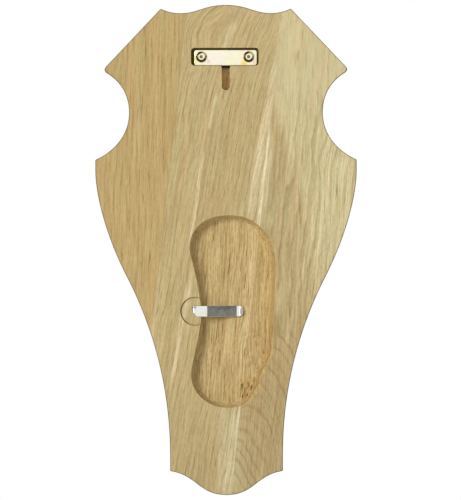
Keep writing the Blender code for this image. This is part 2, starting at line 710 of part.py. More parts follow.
def make_clip(collection, cutters):
    """The spring clip: a bent ribbon given its thickness, trimmed to the shape of its blank."""
    curve = flat_curve("jaw_clip", clip_path(), cyclic=False)
    curve.fill_mode = "NONE"
    curve.extrude = CLIP_WIDTH / 2
    clip = curve_as_mesh(curve, "jaw_clip", Matrix.Translation((0.0, 0.0, CLIP_Z)), collection)
    wall = clip.modifiers.new("sheet thickness", "SOLIDIFY")
    wall.thickness = CLIP_THICKNESS
    wall.offset = 0.0
    wall.use_even_offset = True
    blank = flat_solid("clip_blank_cutter", clip_blank(), -BOARD_THICKNESS, CUT_OVERSHOOT, cutters)
    boolean(clip, as_cutter(blank), "INTERSECT")
    shade_round(clip)
    return clip


def main():
    clear_scene()
    collection = new_collection("antler_mounting_plaque")
    cutters = new_collection("cutters")
    hanger = bpy.data.objects.new("antler_mounting_plaque_nail_point", None)
    hanger.empty_display_size = 0.02
    collection.objects.link(hanger)
    pieces = [(make_board(collection, cutters), "oak")]
    pieces.append((make_plate(collection, cutters), "plate_zinc"))
    pieces += [(screw, "screw_zinc") for screw in make_screws(collection, cutters)]
    pieces.append((make_clip(collection, cutters), "spring_steel"))
    materials = {name: new_material(name) for name in FINISHES}
    for piece, finish in pieces:
        piece.data.materials.clear()
        piece.data.materials.append(materials[finish])
        piece.parent = hanger


main()
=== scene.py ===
"""Looks of the antler mounting plaque: an oak trophy shield seen from behind, with its hanger and jaw clip.

The frame is in metres. +Z is up, the shield's back faces +Y and its front faces -Y. The origin is where the
wall's nail bears. "Out" is away from the centre line, "near" is the pocket's side with the clip, at +X, and
"far" is its other side. Wood patterns are worked out in millimetres.
"""

import math

import bmesh
import bpy
import numpy as np
from mathutils import Euler, Matrix, Vector


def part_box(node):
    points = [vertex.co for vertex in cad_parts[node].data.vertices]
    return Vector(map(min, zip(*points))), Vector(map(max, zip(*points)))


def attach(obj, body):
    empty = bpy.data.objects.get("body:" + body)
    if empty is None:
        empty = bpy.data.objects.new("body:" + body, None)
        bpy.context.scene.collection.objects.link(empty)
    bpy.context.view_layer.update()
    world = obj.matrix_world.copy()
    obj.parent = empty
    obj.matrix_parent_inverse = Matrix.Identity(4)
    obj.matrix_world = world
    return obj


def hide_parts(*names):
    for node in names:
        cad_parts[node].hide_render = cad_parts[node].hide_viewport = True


bl_info = {
    "name": "Antler mounting plaque",
    "version": (1, 0, 0),
    "blender": (4, 5, 0),
    "location": "View3D > Sidebar > Plaque",
    "description": "Dresses a trophy shield with oak, plated zinc and spring steel",
    "category": "Object",
}

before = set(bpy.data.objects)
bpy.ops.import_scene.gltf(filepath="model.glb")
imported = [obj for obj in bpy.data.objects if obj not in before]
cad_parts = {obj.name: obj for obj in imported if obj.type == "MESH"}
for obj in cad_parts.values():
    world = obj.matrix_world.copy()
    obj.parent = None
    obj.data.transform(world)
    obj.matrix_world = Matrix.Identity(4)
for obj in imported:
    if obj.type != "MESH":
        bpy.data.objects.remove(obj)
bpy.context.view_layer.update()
BODY = "root"

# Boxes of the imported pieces
BOARD_LOW, BOARD_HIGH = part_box("shield_board")
PLATE_LOW, PLATE_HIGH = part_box("hanger_plate")
CLIP_LOW, CLIP_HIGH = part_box("jaw_clip")
SCREWS = ("hanger_screw_left", "hanger_screw_right")
SCREW_BOXES = [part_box(name) for name in SCREWS]

# Board and its outline, with drops measured down from the crest
BOARD_HALF_WIDTH = BOARD_HIGH[0]
BOARD_THICKNESS = -BOARD_LOW[1]
CREST_Z = BOARD_HIGH[2]
FOOT_Z = BOARD_LOW[2]
TROUGH_OUT = 0.0275
TROUGH_DROP = 0.0050
HORN_OUT = 0.0398
HORN_DROP = 0.0022
EAR_INSIDE_HIP = 0.0044
EAR_DROP = 0.0400
NOTCH_DEPTH = 0.0207
NOTCH_DROP = 0.0657
HIP_DROP = 0.0947
FLANK_STRAIGHT = 0.0065
FOOT_HALF_WIDTH = 0.0345
FOOT_HEIGHT = 0.0147
ANKLE_HEIGHT = 0.0205
EAR_ROUNDING = 0.0034
CORNER_ROUNDING = 0.0008
KNEE_SHARES = (0.421, 0.365)

# How each curve of the outline eases between its ends: the headings in degrees that it leaves and arrives at
# (0 is outwards, 270 down), and how far it keeps to each of them as shares of its chord
CREST_EASE = (0, 0, 0.483, 0.369)
HORN_EASE = (0, 26, 0.357, 0.357)
EAR_EASE = (206, 270, 0.361, 0.390)
HIP_EASE = (270, 336, 0.375, 0.371)
FLANK_EASE = (270, 242.9, 0.203, 0.435)
ANKLE_EASE = (242.9, 270, 0.499, 0.144)
FOOT_EASE = (188.6, 180, 0.443, 0.451)

# Ogee at the board's front edge
OGEE_RADIUS = 0.004
OGEE_STEP = 0.0015

# Recess of the hanger plate, the holes of its screws and the nail's slot
RECESS_GAP_NEAR_END = 0.0017
RECESS_GAP_FAR_END = 0.0011
RECESS_GAP_TOP = 0.0010
RECESS_CORNER_RADIUS = 0.0020
SEAT_GAP = 0.0003
PRESS_GAP = 0.00005
PLATE_CORNER_RADIUS = 0.0014
HOLE_RADIUS = 0.0018
WOOD_PAST_SCREWS = 0.0035
SLOT_WIDTH = 0.0050
SLOT_BELOW_PLATE = 0.0153
SLOT_BEHIND_PLATE = 0.0060
POCKET_DEPTH = 0.010

# Screws
HEAD_HEIGHT = 0.0021
HEAD_RIM = 0.0007
HEAD_FLAT_RADIUS = 0.0021
SHANK_RADIUS = 0.0015
POINT_LENGTH = 0.0030
CROSS_SIZE = (0.0030, 0.0008, 0.0011)
PIT_RADII = (0.00095, 0.0003)
SHANK_INTO_HEAD = 0.0004
TIP_RADIUS = 0.0001
HEAD_STEPS = 14
SHANK_STEPS = 24

# How deep the metal's scratches are, and the side of a screw's shoulder that catches the light
SCRATCH_DEPTH = 0.000004
UPPER_FAR_SIDE = (-0.80, 0.0, 0.60)

# Jaw pocket, shaped like a shoe's sole, with the width of its coved wall. Its outline runs clockwise as seen
# from behind. Each anchor gives its shares of the pocket's width from the near side and of its length from the
# crown, its heading in degrees (0 towards the far side, 90 up), and how far the curve eases in and out of it as
# shares of the length.
POCKET_LENGTH = 0.1177
POCKET_WIDTH = 0.0525
POCKET_NEAR_OUT = 0.0223
POCKET_ABOVE_FOOT = 0.0535
POCKET_CROWN_Z = FOOT_Z + POCKET_ABOVE_FOOT + POCKET_LENGTH
COVE_NEAR = 0.0028
COVE_FAR = 0.0085
COVE_ENDS = 0.0030
POCKET_ANCHORS = (
    (0.465, 0.000, 0, 0.132, 0.150),
    (1.000, 0.285, -90, 0.170, 0.103),
    (0.947, 0.698, -90, 0.102, 0.042),
    (0.832, 0.818, -108, 0.038, 0.094),
    (0.446, 1.000, 180, 0.117, 0.112),
    (0.017, 0.830, 90, 0.091, 0.069),
    (0.130, 0.518, 90, 0.106, 0.153),
    (0.000, 0.175, 90, 0.038, 0.110),
)

# Clip and its shallow round recess
CLIP_Z = (CLIP_LOW[2] + CLIP_HIGH[2]) / 2
CLIP_WIDTH = CLIP_HIGH[2] - CLIP_LOW[2]
CLIP_THICKNESS = 0.0006
CLIP_SUNK = 0.0004
CLIP_FOOT_END = CLIP_HIGH[0]
CLIP_TIP_END = CLIP_LOW[0]
CLIP_FOOT_LENGTH = 0.0092
CLIP_TIP_FLAT = 0.0019
CLIP_TIP_RUN = 0.0023
CLIP_TIP_RISE = 0.0009
CLIP_FLOOR_CLEARANCE = 0.0010
CLIP_BEND_RADIUS = 0.0009
CLIP_TIP_ROUNDING = 0.0030
CLIP_TONGUE_WIDTH = 0.0034
CLIP_TONGUE_LENGTH = 0.0050
CLIP_TAB = 0.0006
CLIP_UPPER_CUT_LENGTH = 0.0006
CLIP_UPPER_CUT_HEIGHT = 0.0005
CLIP_LOWER_CUT_LENGTH = 0.0024
CLIP_RECESS_RADIUS = 0.00875
CLIP_RECESS_PAST_FOOT = 0.0071
CLIP_RECESS_DEPTH = SEAT_GAP + CLIP_THICKNESS + CLIP_SUNK
CLIP_TONGUE_Y = -CLIP_RECESS_DEPTH - CLIP_TONGUE_LENGTH
CLIP_RECESS_CENTRE = (CLIP_FOOT_END + CLIP_RECESS_PAST_FOOT - CLIP_RECESS_RADIUS, CLIP_Z)

# Torn chips low on the pocket's far wall: place across and up, length along the grain and width, in metres
CHIPS = (
    (-0.0096, -0.1972, 0.0050, 0.0017),
    (-0.0116, -0.1995, 0.0062, 0.0020),
    (-0.0131, -0.1962, 0.0044, 0.0015),
    (-0.0127, -0.2018, 0.0036, 0.0015),
    (-0.0152, -0.1978, 0.0044, 0.0012),
    (-0.0101, -0.2028, 0.0028, 0.0011),
    (-0.0170, -0.1925, 0.0038, 0.0010),
)
CHIP_DEPTH = 0.0008

# Where the pocket's rim is worn round, and how far that reaches
WORN_RIM_CENTRE = (-0.0215, -0.1900)
WORN_RIM_REACH = 0.016

# Painted shadow line round the rim of the clip's recess: its centre and its radius, in millimetres
RECESS_RIM_SHADOW_CENTRE = (CLIP_RECESS_CENTRE[0] * 1000, CLIP_RECESS_CENTRE[1] * 1000)
RECESS_RIM_SHADOW_RADIUS = CLIP_RECESS_RADIUS * 1000 - 0.2

# Seams between the glued staves: how much they lean, and how far out they pass the origin in millimetres
SEAM_LEAN = 0.1087
NEAR_SEAM = 27.66
FAR_SEAM = -31.55

# Points on each stretch of a curve
OUTLINE_POINTS = (56, 10, 56, 96, 40)
CORNER_POINTS = 5
EASE_POINTS = 160
POCKET_STEPS = 22
ROUND_STEPS = 8
CUT_OVERSHOOT = 0.002

# Camera
PICTURE_HEIGHT = 0.3060
CAMERA_DISTANCE = 2.55
CAMERA_TARGET = (-0.00266, 0.0, -0.1131)
CAMERA_LENS = 200
CAMERA_ROLL = math.radians(0.10)

# Floor: how far it lies below the hanging plaque, and how far it reaches aside, behind and in front
FLOOR_DROP = 0.60
FLOOR_REACH = (8.0, 8.0, -8.0)


def direction(degrees):
    """Unit vector at an angle from the first axis."""
    angle = math.radians(degrees)
    return np.array((math.cos(angle), math.sin(angle)))


def cubic(start, start_pull, end_pull, end, count=EASE_POINTS):
    """Points along a cubic curve between two ends and their two control points."""
    t = np.linspace(0.0, 1.0, count)[:, None]
    s = 1.0 - t
    return s**3 * start + 3 * s**2 * t * start_pull + 3 * s * t**2 * end_pull + t**3 * end


def ease(start, end, start_heading, end_heading, start_reach, end_reach):
    """A cubic that leaves and arrives at headings in degrees, with reaches as shares of the chord."""
    start = np.array(start)
    end = np.array(end)
    chord = np.linalg.norm(end - start)
    start_pull = start + start_reach * chord * direction(start_heading)
    end_pull = end - end_reach * chord * direction(end_heading)
    return cubic(start, start_pull, end_pull, end)


def chain(*pieces):
    """Joins curves end to end, and drops each shared point."""
    return np.vstack([pieces[0]] + [piece[1:] for piece in pieces[1:]])


def outline_runs():
    """The board's half outline as (out, up) runs between its corners, from the crest to the foot's middle."""
    crest = (0.0, CREST_Z)
    trough = (TROUGH_OUT, CREST_Z - TROUGH_DROP)
    horn = (HORN_OUT, CREST_Z - HORN_DROP)
    ear = (BOARD_HALF_WIDTH - EAR_INSIDE_HIP, CREST_Z - EAR_DROP)
    notch = (BOARD_HALF_WIDTH - NOTCH_DEPTH, CREST_Z - NOTCH_DROP)
    hip = (BOARD_HALF_WIDTH, CREST_Z - HIP_DROP)
    flank = (BOARD_HALF_WIDTH, CREST_Z - HIP_DROP - FLANK_STRAIGHT)
    ankle = (FOOT_HALF_WIDTH, FOOT_Z + ANKLE_HEIGHT)
    knee = tuple(start + share * (end - start) for start, end, share in zip(flank, ankle, KNEE_SHARES))
    heel = (FOOT_HALF_WIDTH, FOOT_Z + FOOT_HEIGHT)
    toe = (0.0, FOOT_Z)
    top = chain(ease(crest, trough, *CREST_EASE), ease(trough, horn, *HORN_EASE))
    shoulder = np.linspace(horn, ear, 5)
    hollow = chain(ease(ear, notch, *EAR_EASE), ease(notch, hip, *HIP_EASE))
    waist = chain(ease(flank, knee, *FLANK_EASE), ease(knee, ankle, *ANKLE_EASE))
    side = chain(np.linspace(hip, flank, 5), waist, np.linspace(ankle, heel, 5))
    bottom = ease(heel, toe, *FOOT_EASE)
    return [top, shoulder, hollow, side, bottom]


def offset_curve(points, inset):
    """Moves a run of the outline towards the inside of the board, square to itself."""
    tangents = np.gradient(points, axis=0)
    tangents /= np.linalg.norm(tangents, axis=1)[:, None]
    return points + inset * np.column_stack((tangents[:, 1], -tangents[:, 0]))


def lengthened(points, reach, at_start, at_end):
    """Adds a short straight stretch at either end of a run, so that neighbours always cross."""
    first = points[0] + (points[0] - points[1]) / np.linalg.norm(points[0] - points[1]) * reach
    last = points[-1] + (points[-1] - points[-2]) / np.linalg.norm(points[-1] - points[-2]) * reach
    return np.vstack([first[None]] * at_start + [points] + [last[None]] * at_end)


def crossing(first, second):
    """Where two runs cross, as a position (segment number and fraction) along each of them."""
    start_a = first[:-1, None]
    start_b = second[None, :-1]
    step_a = np.diff(first, axis=0)[:, None]
    step_b = np.diff(second, axis=0)[None]
    between = start_b - start_a
    cross = step_a[..., 0] * step_b[..., 1] - step_a[..., 1] * step_b[..., 0]
    cross = np.where(np.abs(cross) < 1e-18, 1e-18, cross)
    along_a = (between[..., 0] * step_b[..., 1] - between[..., 1] * step_b[..., 0]) / cross
    along_b = (between[..., 0] * step_a[..., 1] - between[..., 1] * step_a[..., 0]) / cross
    hits = np.argwhere((along_a >= 0) & (along_a <= 1) & (along_b >= 0) & (along_b <= 1))
    i, j = hits[-1]
    return i + along_a[i, j], j + along_b[i, j]


def stretch(points, start, end):
    """The part of a run between two positions along it."""
    index = np.arange(len(points))
    positions = [start] + [k for k in index if start < k < end] + [end]
    return np.column_stack([np.interp(positions, index, points[:, axis]) for axis in range(2)])


def resampled(points, count, trim_start=0.0, trim_end=0.0):
    """Evenly spaced points on a run, after a length is left off at either end."""
    lengths = np.concatenate(([0.0], np.cumsum(np.linalg.norm(np.diff(points, axis=0), axis=1))))
    wanted = np.linspace(trim_start, lengths[-1] - trim_end, count)
    return np.column_stack([np.interp(wanted, lengths, points[:, axis]) for axis in range(2)])


def board_ring(inset):
    """The half outline at an inset from the board's edge, with the same number of points at every inset."""
    runs = outline_runs()
    last = len(runs) - 1
    reach = 0.001
    moved = [offset_curve(lengthened(run, reach, k > 0, k < last), inset) for k, run in enumerate(runs)]
    starts = [0.0] * len(runs)
    ends = [float(len(run) - 1) for run in moved]
    for k in range(last):
        ends[k], starts[k + 1] = crossing(moved[k], moved[k + 1])
    rounding = (0.0, CORNER_ROUNDING, EAR_ROUNDING, CORNER_ROUNDING, CORNER_ROUNDING, 0.0)
    ring = []
    for k, run in enumerate(moved):
        trimmed = stretch(run, starts[k], ends[k])
        piece = resampled(trimmed, OUTLINE_POINTS[k], rounding[k], rounding[k + 1])
        if ring:
            corner = trimmed[0]
            before = ring[-1][-1]
            for t in np.linspace(0.0, 1.0, CORNER_POINTS + 2)[1:-1]:
                ring.append(((1 - t) ** 2 * before + 2 * (1 - t) * t * corner + t**2 * piece[0])[None])
        ring.append(piece)
    ring = np.vstack(ring)
    ring[0, 0] = ring[-1, 0] = 0.0
    return ring


def quarter(steps=ROUND_STEPS):
    """Angles of a quarter turn in even steps."""
    return [math.pi / 2 * k / steps for k in range(steps + 1)]


def edge_profile(back_round, front_round):
    """The board's edge as (inset, depth below the back) pairs, from the back face round to the front face."""
    radius = OGEE_RADIUS
    middle = BOARD_THICKNESS - OGEE_STEP - radius
    inset = 2 * radius + front_round
    depth = BOARD_THICKNESS - front_round
    profile = [(back_round * (1 - math.sin(a)), back_round * (1 - math.cos(a))) for a in quarter(4)]
    profile += [(radius * math.sin(a), middle - radius * math.cos(a)) for a in quarter()]
    profile += [(2 * radius - radius * math.cos(a), middle + radius * math.sin(a)) for a in quarter()[1:]]
    profile += [(inset - front_round * math.cos(a), depth + front_round * math.sin(a)) for a in quarter(3)]
    return profile


def pocket_outline():
    """The pocket's outline at the board's back as (x, z) points."""
    places = []
    for across, down, heading, reach_in, reach_out in POCKET_ANCHORS:
        place = np.array((POCKET_NEAR_OUT - across * POCKET_WIDTH, POCKET_CROWN_Z - down * POCKET_LENGTH))
        way = direction(heading) * (-1.0, 1.0) * POCKET_LENGTH
        places.append((place, reach_in * way, reach_out * way))
    points = []
    for k, (place, _, pull_out) in enumerate(places):
        following, pull_in, _ = places[(k + 1) % len(places)]
        points.append(cubic(place, place + pull_out, following - pull_in, following, POCKET_STEPS + 1)[:-1])
    return np.vstack(points)


def pocket_walls(points):
    """At each point of the pocket's outline, the way outwards and the width that the coved wall takes."""
    ahead = np.roll(points, -1, axis=0) - np.roll(points, 1, axis=0)
    ahead /= np.linalg.norm(ahead, axis=1)[:, None]
    outward = np.column_stack((ahead[:, 1], -ahead[:, 0]))
    cove = COVE_ENDS * outward[:, 1] ** 2
    cove += np.where(outward[:, 0] > 0, COVE_NEAR, COVE_FAR) * outward[:, 0] ** 2
    return outward, cove


def wall_depth(x, z):
    """How deep the pocket is at a place on its wall."""
    points = pocket_outline()
    outward, cove = pocket_walls(points)
    away = np.array((x, z)) - points
    k = int(np.argmin(np.linalg.norm(away, axis=1)))
    inset = -float(away[k] @ outward[k])
    share = min(max(1 - inset / cove[k], 0.0), 1.0)
    return POCKET_DEPTH * math.sin(math.acos(share))


def arc(centre, radius, start, sweep, steps=ROUND_STEPS):
    """Points on an arc from a start angle through a sweep, both in degrees."""
    count = steps * max(1, round(abs(sweep) / 90))
    return [np.array(centre) + radius * direction(start + sweep * k / count) for k in range(count + 1)]


def rounded_rectangle(x_low, x_high, z_low, z_high, radius):
    """Corners of a rectangle rounded with arcs, as (x, z) points."""
    points = arc((x_high - radius, z_high - radius), radius, 0, 90)
    points += arc((x_low + radius, z_high - radius), radius, 90, 90)
    points += arc((x_low + radius, z_low + radius), radius, 180, 90)
    points += arc((x_high - radius, z_low + radius), radius, 270, 90)
    return points


def rounded_path(points, radius, steps):
    """A bent path: straight runs with an arc of about the given radius at each inner corner."""
    path = [np.array(points[0])]
    for before, corner, after in zip(points, points[1:], points[2:]):
        before, corner, after = (np.array(p) for p in (before, corner, after))
        back = (before - corner) / np.linalg.norm(before - corner)
        onward = (after - corner) / np.linalg.norm(after - corner)
        half_angle = math.acos(max(-1.0, min(1.0, float(back @ onward)))) / 2
        reach = radius / math.tan(half_angle)
        start = corner + back * reach
        end = corner + onward * reach
        for t in np.linspace(0.0, 1.0, steps + 1):
            path.append((1 - t) ** 2 * start + 2 * (1 - t) * t * corner + t**2 * end)
    path.append(np.array(points[-1]))
    return path


def add_object(name, data):
    """An object for a mesh, a light or a camera, in the scene."""
    obj = bpy.data.objects.new(name, data)
    bpy.context.scene.collection.objects.link(obj)
    return obj


def loft(name, rings, closed=True):
    """A skin over rings of points, with flat first and last faces. Open rings end on a mirror plane."""
    mesh = bpy.data.meshes.new(name)
    bm = bmesh.new()
    rows = [[bm.verts.new(point) for point in ring] for ring in rings]
    for row, following in zip(rows, rows[1:]):
        for k in range(len(row) - (not closed)):
            after = (k + 1) % len(row)
            bm.faces.new((row[k], following[k], following[after], row[after]))
    bm.faces.new(rows[0])
    bm.faces.new(reversed(rows[-1]))
    bmesh.ops.recalc_face_normals(bm, faces=bm.faces)
    bm.to_mesh(mesh)
    bm.free()
    return add_object(name, mesh)


def cut_from_back(name, outline, depth, rim, floor_round, material):
    """A cutter with an eased rim. outline(out) gives its (x, z) points moved outwards by a length."""
    low = depth - floor_round
    profile = [(rim, CUT_OVERSHOOT)]
    profile += [(rim * (1 - math.sin(a)), -rim * (1 - math.cos(a))) for a in quarter(3)]
    profile += [(-floor_round * (1 - math.cos(a)), -low - floor_round * math.sin(a)) for a in quarter(3)]
    cutter = loft(name, [[(x, y, z) for x, z in outline(out)] for out, y in profile])
    cutter.data.materials.append(material)
    return cutter


def cut(target, cutter):
    """Cuts a target with a cutter, whose material the cut faces take."""
    modifier = target.modifiers.new(cutter.name, "BOOLEAN")
    modifier.operation = "DIFFERENCE"
    modifier.solver = "EXACT"
    modifier.material_mode = "TRANSFER"
    modifier.object = cutter
    return cutter


def shade_round(obj, degrees=28):
    """Smooth shading that keeps the sharp edges, with large flat faces shaded flat."""
    obj.data.shade_smooth()
    obj.data.set_sharp_from_angle(angle=math.radians(degrees))
    weighted = obj.modifiers.new("flat faces", "WEIGHTED_NORMAL")
    weighted.keep_sharp = True


def plain_mesh(obj, helpers=()):
    """Turns an object's evaluated result into its own plain mesh, and takes its helpers away."""
    bpy.context.view_layer.update()
    evaluated = obj.evaluated_get(bpy.context.evaluated_depsgraph_get())
    mesh = bpy.data.meshes.new_from_object(evaluated)
    obj.modifiers.clear()
    old = obj.data
    obj.data = mesh
    mesh.name = obj.name
    if old.users == 0:
        bpy.data.meshes.remove(old)
    for helper in helpers:
        bpy.data.objects.remove(helper, do_unlink=True)
    if not mesh.polygons:
        raise RuntimeError(f"{obj.name} came out empty")
    return obj


def settle(obj, slot_name, *nodes):
    """Shades a piece, ties it to its body and hides the nodes that it stands for. The slot's name is not used.
    """
    shade_round(obj)
    plain_mesh(obj)
    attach(obj, BODY)
    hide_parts(*nodes)
    return {"FINISHED"}


class Wiring:
    """Adds nodes to a tree and joins them. Plain values are set on sockets that nothing feeds."""

    def __init__(self, tree):
        self.tree = tree

    def node(self, kind, inputs=None, **settings):
        node = self.tree.nodes.new(kind)
        for key, value in settings.items():
            setattr(node, key, value)
        for name, value in (inputs or {}).items():
            self.feed(node.inputs[name], value)
        return node

    def out(self, kind, inputs=None, **settings):
        """The first output of a new node."""
        return self.node(kind, inputs, **settings).outputs[0]

    def geo(self, kind, inputs=None, **settings):
        """The first output of a new geometry node."""
        return self.out("GeometryNode" + kind, inputs, **settings)

    def feed(self, socket, value):
        if isinstance(value, bpy.types.NodeSocket):
            self.tree.links.new(value, socket)
        else:
            socket.default_value = value

    def math(self, operation, *values, clamp=False):
        return self.out("ShaderNodeMath", dict(enumerate(values)), operation=operation, use_clamp=clamp)

    def total(self, result, *others):
        """The sum of several values."""
        for value in others:
            result = self.math("ADD", result, value)
        return result

    def product(self, result, *others):
        """The product of several values."""
        for value in others:
            result = self.math("MULTIPLY", result, value)
        return result

    def minus(self, first, second):
        return self.math("SUBTRACT", first, second)

    def line(self, value, slope, offset):
        """A value times a slope, plus an offset."""
        return self.math("MULTIPLY_ADD", value, slope, offset)

    def around(self, noise, weight):
        """A noise that swings about zero, times a weight."""
        return self.line(noise, weight, -weight / 2)

    def step(self, value, low, high, start=0.0, end=1.0):
        """A smooth step from start to end as a value goes from low to high."""
        inputs = {"Value": value, "From Min": low, "From Max": high, "To Min": start, "To Max": end}
        return self.out("ShaderNodeMapRange", inputs, interpolation_type="SMOOTHSTEP")

    def fade(self, value, low, high, start=1.0):
        """A smooth step down to nothing as a value goes from low to high."""
        return self.step(value, low, high, start, 0.0)

    def mix(self, factor, first, second, blend="MIX"):
        inputs = {0: factor, 6: first, 7: second}
        return self.node("ShaderNodeMix", inputs, data_type="RGBA", blend_type=blend).outputs[2]

    def dyed(self, colour, tint):
        """A colour times a tint."""
        return self.mix(1.0, colour, (*tint, 1.0), "MULTIPLY")

    def dye(self, share, colour, tint):
        """A colour that goes over to its dyed self with a share."""
        return self.mix(share, colour, self.dyed(colour, tint))

    def mix_value(self, factor, first, second):
        return self.out("ShaderNodeMix", {0: factor, 2: first, 3: second}, data_type="FLOAT")

    def split(self, vector):
        return self.node("ShaderNodeSeparateXYZ", {0: vector}).outputs

    def join(self, x, y, z):
        return self.out("ShaderNodeCombineXYZ", {0: x, 1: y, 2: z})

    def vectors(self, operation, *vectors, output="Vector"):
        inputs = dict(enumerate(vectors))
        return self.node("ShaderNodeVectorMath", inputs, operation=operation).outputs[output]

    def scaled(self, vector, x, y, z):
        return self.vectors("MULTIPLY", vector, (x, y, z))

    def moved(self, vector, offset):
        return self.vectors("ADD", vector, offset)

    def distance(self, place, x, z):
        """How far a place is from a point of the board's plane, seen from behind."""
        return self.vectors("DISTANCE", self.scaled(place, 1.0, 0.0, 1.0), (x, 0.0, z), output="Value")

    def noise(self, vector, detail=2.0, roughness=0.5, scale=1.0):
        inputs = {"Vector": vector, "Scale": scale, "Detail": detail, "Roughness": roughness}
        return self.out("ShaderNodeTexNoise", inputs)

    def grain(self, vector, across, along, detail=2.0, roughness=0.5):
        """A noise of given sizes across the grain and along it."""
        return self.noise(self.scaled(vector, 1 / across, 1 / across, 1 / along), detail, roughness)

    def copy_of(self, group, place):
        """A node for a group, fed with a place."""
        node = self.node("ShaderNodeGroup", node_tree=group)
        self.feed(node.inputs["Place"], place)
        return node

    def give(self, output, **values):
        """Feeds a group's outputs by name."""
        for label, value in values.items():
            self.feed(output.inputs[label], value)


FLOAT = "NodeSocketFloat"
VECTOR = "NodeSocketVector"
INT = "NodeSocketInt"
GEOMETRY = "NodeSocketGeometry"
MATERIAL = "NodeSocketMaterial"


def new_group(name, kind, inputs, floats, outputs):
    """A node group with named sockets: its wiring, its inputs by name and its output node."""
    group = bpy.data.node_groups.new(name, kind)
    for label, socket_type, value in inputs + [(label, FLOAT, value) for label, value in floats.items()]:
        socket = group.interface.new_socket(label, in_out="INPUT", socket_type=socket_type)
        if value is not None:
            socket.default_value = value
    for label, socket_type in outputs.items():
        group.interface.new_socket(label, in_out="OUTPUT", socket_type=socket_type)
    wiring = Wiring(group)
    return wiring, wiring.node("NodeGroupInput").outputs, wiring.node("NodeGroupOutput")


def new_material(name, scale):
    """A new material: itself, its wiring, its shader, and the place on the object times a scale."""
    material = bpy.data.materials.new(name)
    material.use_nodes = True
    w = Wiring(material.node_tree)
    place = w.node("ShaderNodeTexCoord").outputs["Object"]
    place = w.out("ShaderNodeMapping", {"Vector": place, "Scale": (scale,) * 3})
    return material, w, material.node_tree.nodes["Principled BSDF"], place


def surface(w, shader, colour, roughness, height, relief):
    """Feeds a shader's colour, roughness and bumps."""
    w.feed(shader.inputs["Base Color"], colour)
    w.feed(shader.inputs["Roughness"], roughness)
    bump = w.out("ShaderNodeBump", {"Height": height, "Strength": 1.0, "Distance": relief})
    w.feed(shader.inputs["Normal"], bump)


def stave_group():
    """One stave's solid wood: growth rings round a pith, fibres that follow the grain, and open pores."""
    inputs = [("Place", VECTOR, None), ("Knot", VECTOR, (0.0, 0.0, 400.0))]
    floats = {
        "Lean": 0.1, "Bend": 0.0, "Bend from": 0.0, "Pith across": 0.0, "Pith depth": 40.0, "Fall": 0.0,
        "Fall from": 0.0, "Ring width": 2.4, "Ring strength": 0.12, "Waviness": 4.0, "Knot push": 0.0,
        "Seed": 0.0,
    }
    outputs = dict.fromkeys(("Tone", "Hue", "Pores", "Height"), FLOAT)
    w, given, out = new_group("stave grain", "ShaderNodeTree", inputs, floats, outputs)
    place = given["Place"]
    seed = given["Seed"]
    seeded = w.moved(place, w.join(seed, w.product(seed, 1.7), w.product(seed, -2.3)))
    x, y, z = w.split(place)
    sway = w.product(w.minus(w.grain(seeded, 42, 80), 0.5), given["Waviness"])
    over = w.math("MAXIMUM", w.minus(z, given["Bend from"]), 0.0)
    bend = w.product(given["Bend"], w.product(over, over))
    from_knot = w.vectors("DISTANCE", place, given["Knot"], output="Value")
    pushed = w.product(w.fade(from_knot, 2.0, 24.0), given["Knot push"])
    across = w.total(x, w.product(given["Lean"], z), bend, sway, pushed)
    below = w.math("MAXIMUM", w.minus(given["Fall from"], z), 0.0)
    depth = w.minus(w.total(given["Pith depth"], y), w.product(given["Fall"], below))
    aside = w.minus(across, given["Pith across"])
    radius = w.math("SQRT", w.total(w.product(aside, aside), w.product(depth, depth)))
    ripple = w.product(w.grain(seeded, 16, 40), 3.0)
    rings = w.total(w.math("DIVIDE", radius, given["Ring width"]), ripple)
    phase = w.math("FRACT", rings)
    ring_seed = w.total(w.math("FLOOR", rings), seed)
    ring_tone = w.out("ShaderNodeTexWhiteNoise", {"W": ring_seed}, noise_dimensions="1D")
    early = w.product(w.step(phase, 0.0, 0.12), w.fade(phase, 0.14, 0.50))
    ring_share = w.product(early, w.line(ring_tone, 0.9, 0.3))
    fibre = w.join(w.total(across, seed), w.total(y, seed), z)
    broad = w.grain(fibre, 7.5, 120)
    middling = w.grain(fibre, 1.5, 38, 3.0, 0.62)
    fine = w.grain(fibre, 0.70, 26, 3.0, 0.72)
    fleck = w.grain(fibre, 0.8, 2.6, 2.0, 0.7)
    vessels = w.grain(fibre, 0.55, 12)
    pores = w.product(w.step(vessels, 0.56, 0.66), w.line(early, 0.6, 0.4))
    tone = w.total(
        0.5, w.around(broad, 0.55), w.around(middling, 0.60), w.around(fine, 1.50), w.around(fleck, 0.70),
        w.product(ring_share, given["Ring strength"]),
    )
    hue = w.noise(w.moved(w.scaled(fibre, 1 / 3.2, 1 / 3.2, 1 / 60), (31.0, 7.0, 3.0)))
    height = w.total(w.product(pores, -1.0), w.product(fine, 0.7), w.product(fleck, 0.3))
    w.give(out, Tone=tone, Hue=hue, Pores=pores, Height=height)
    return w.tree


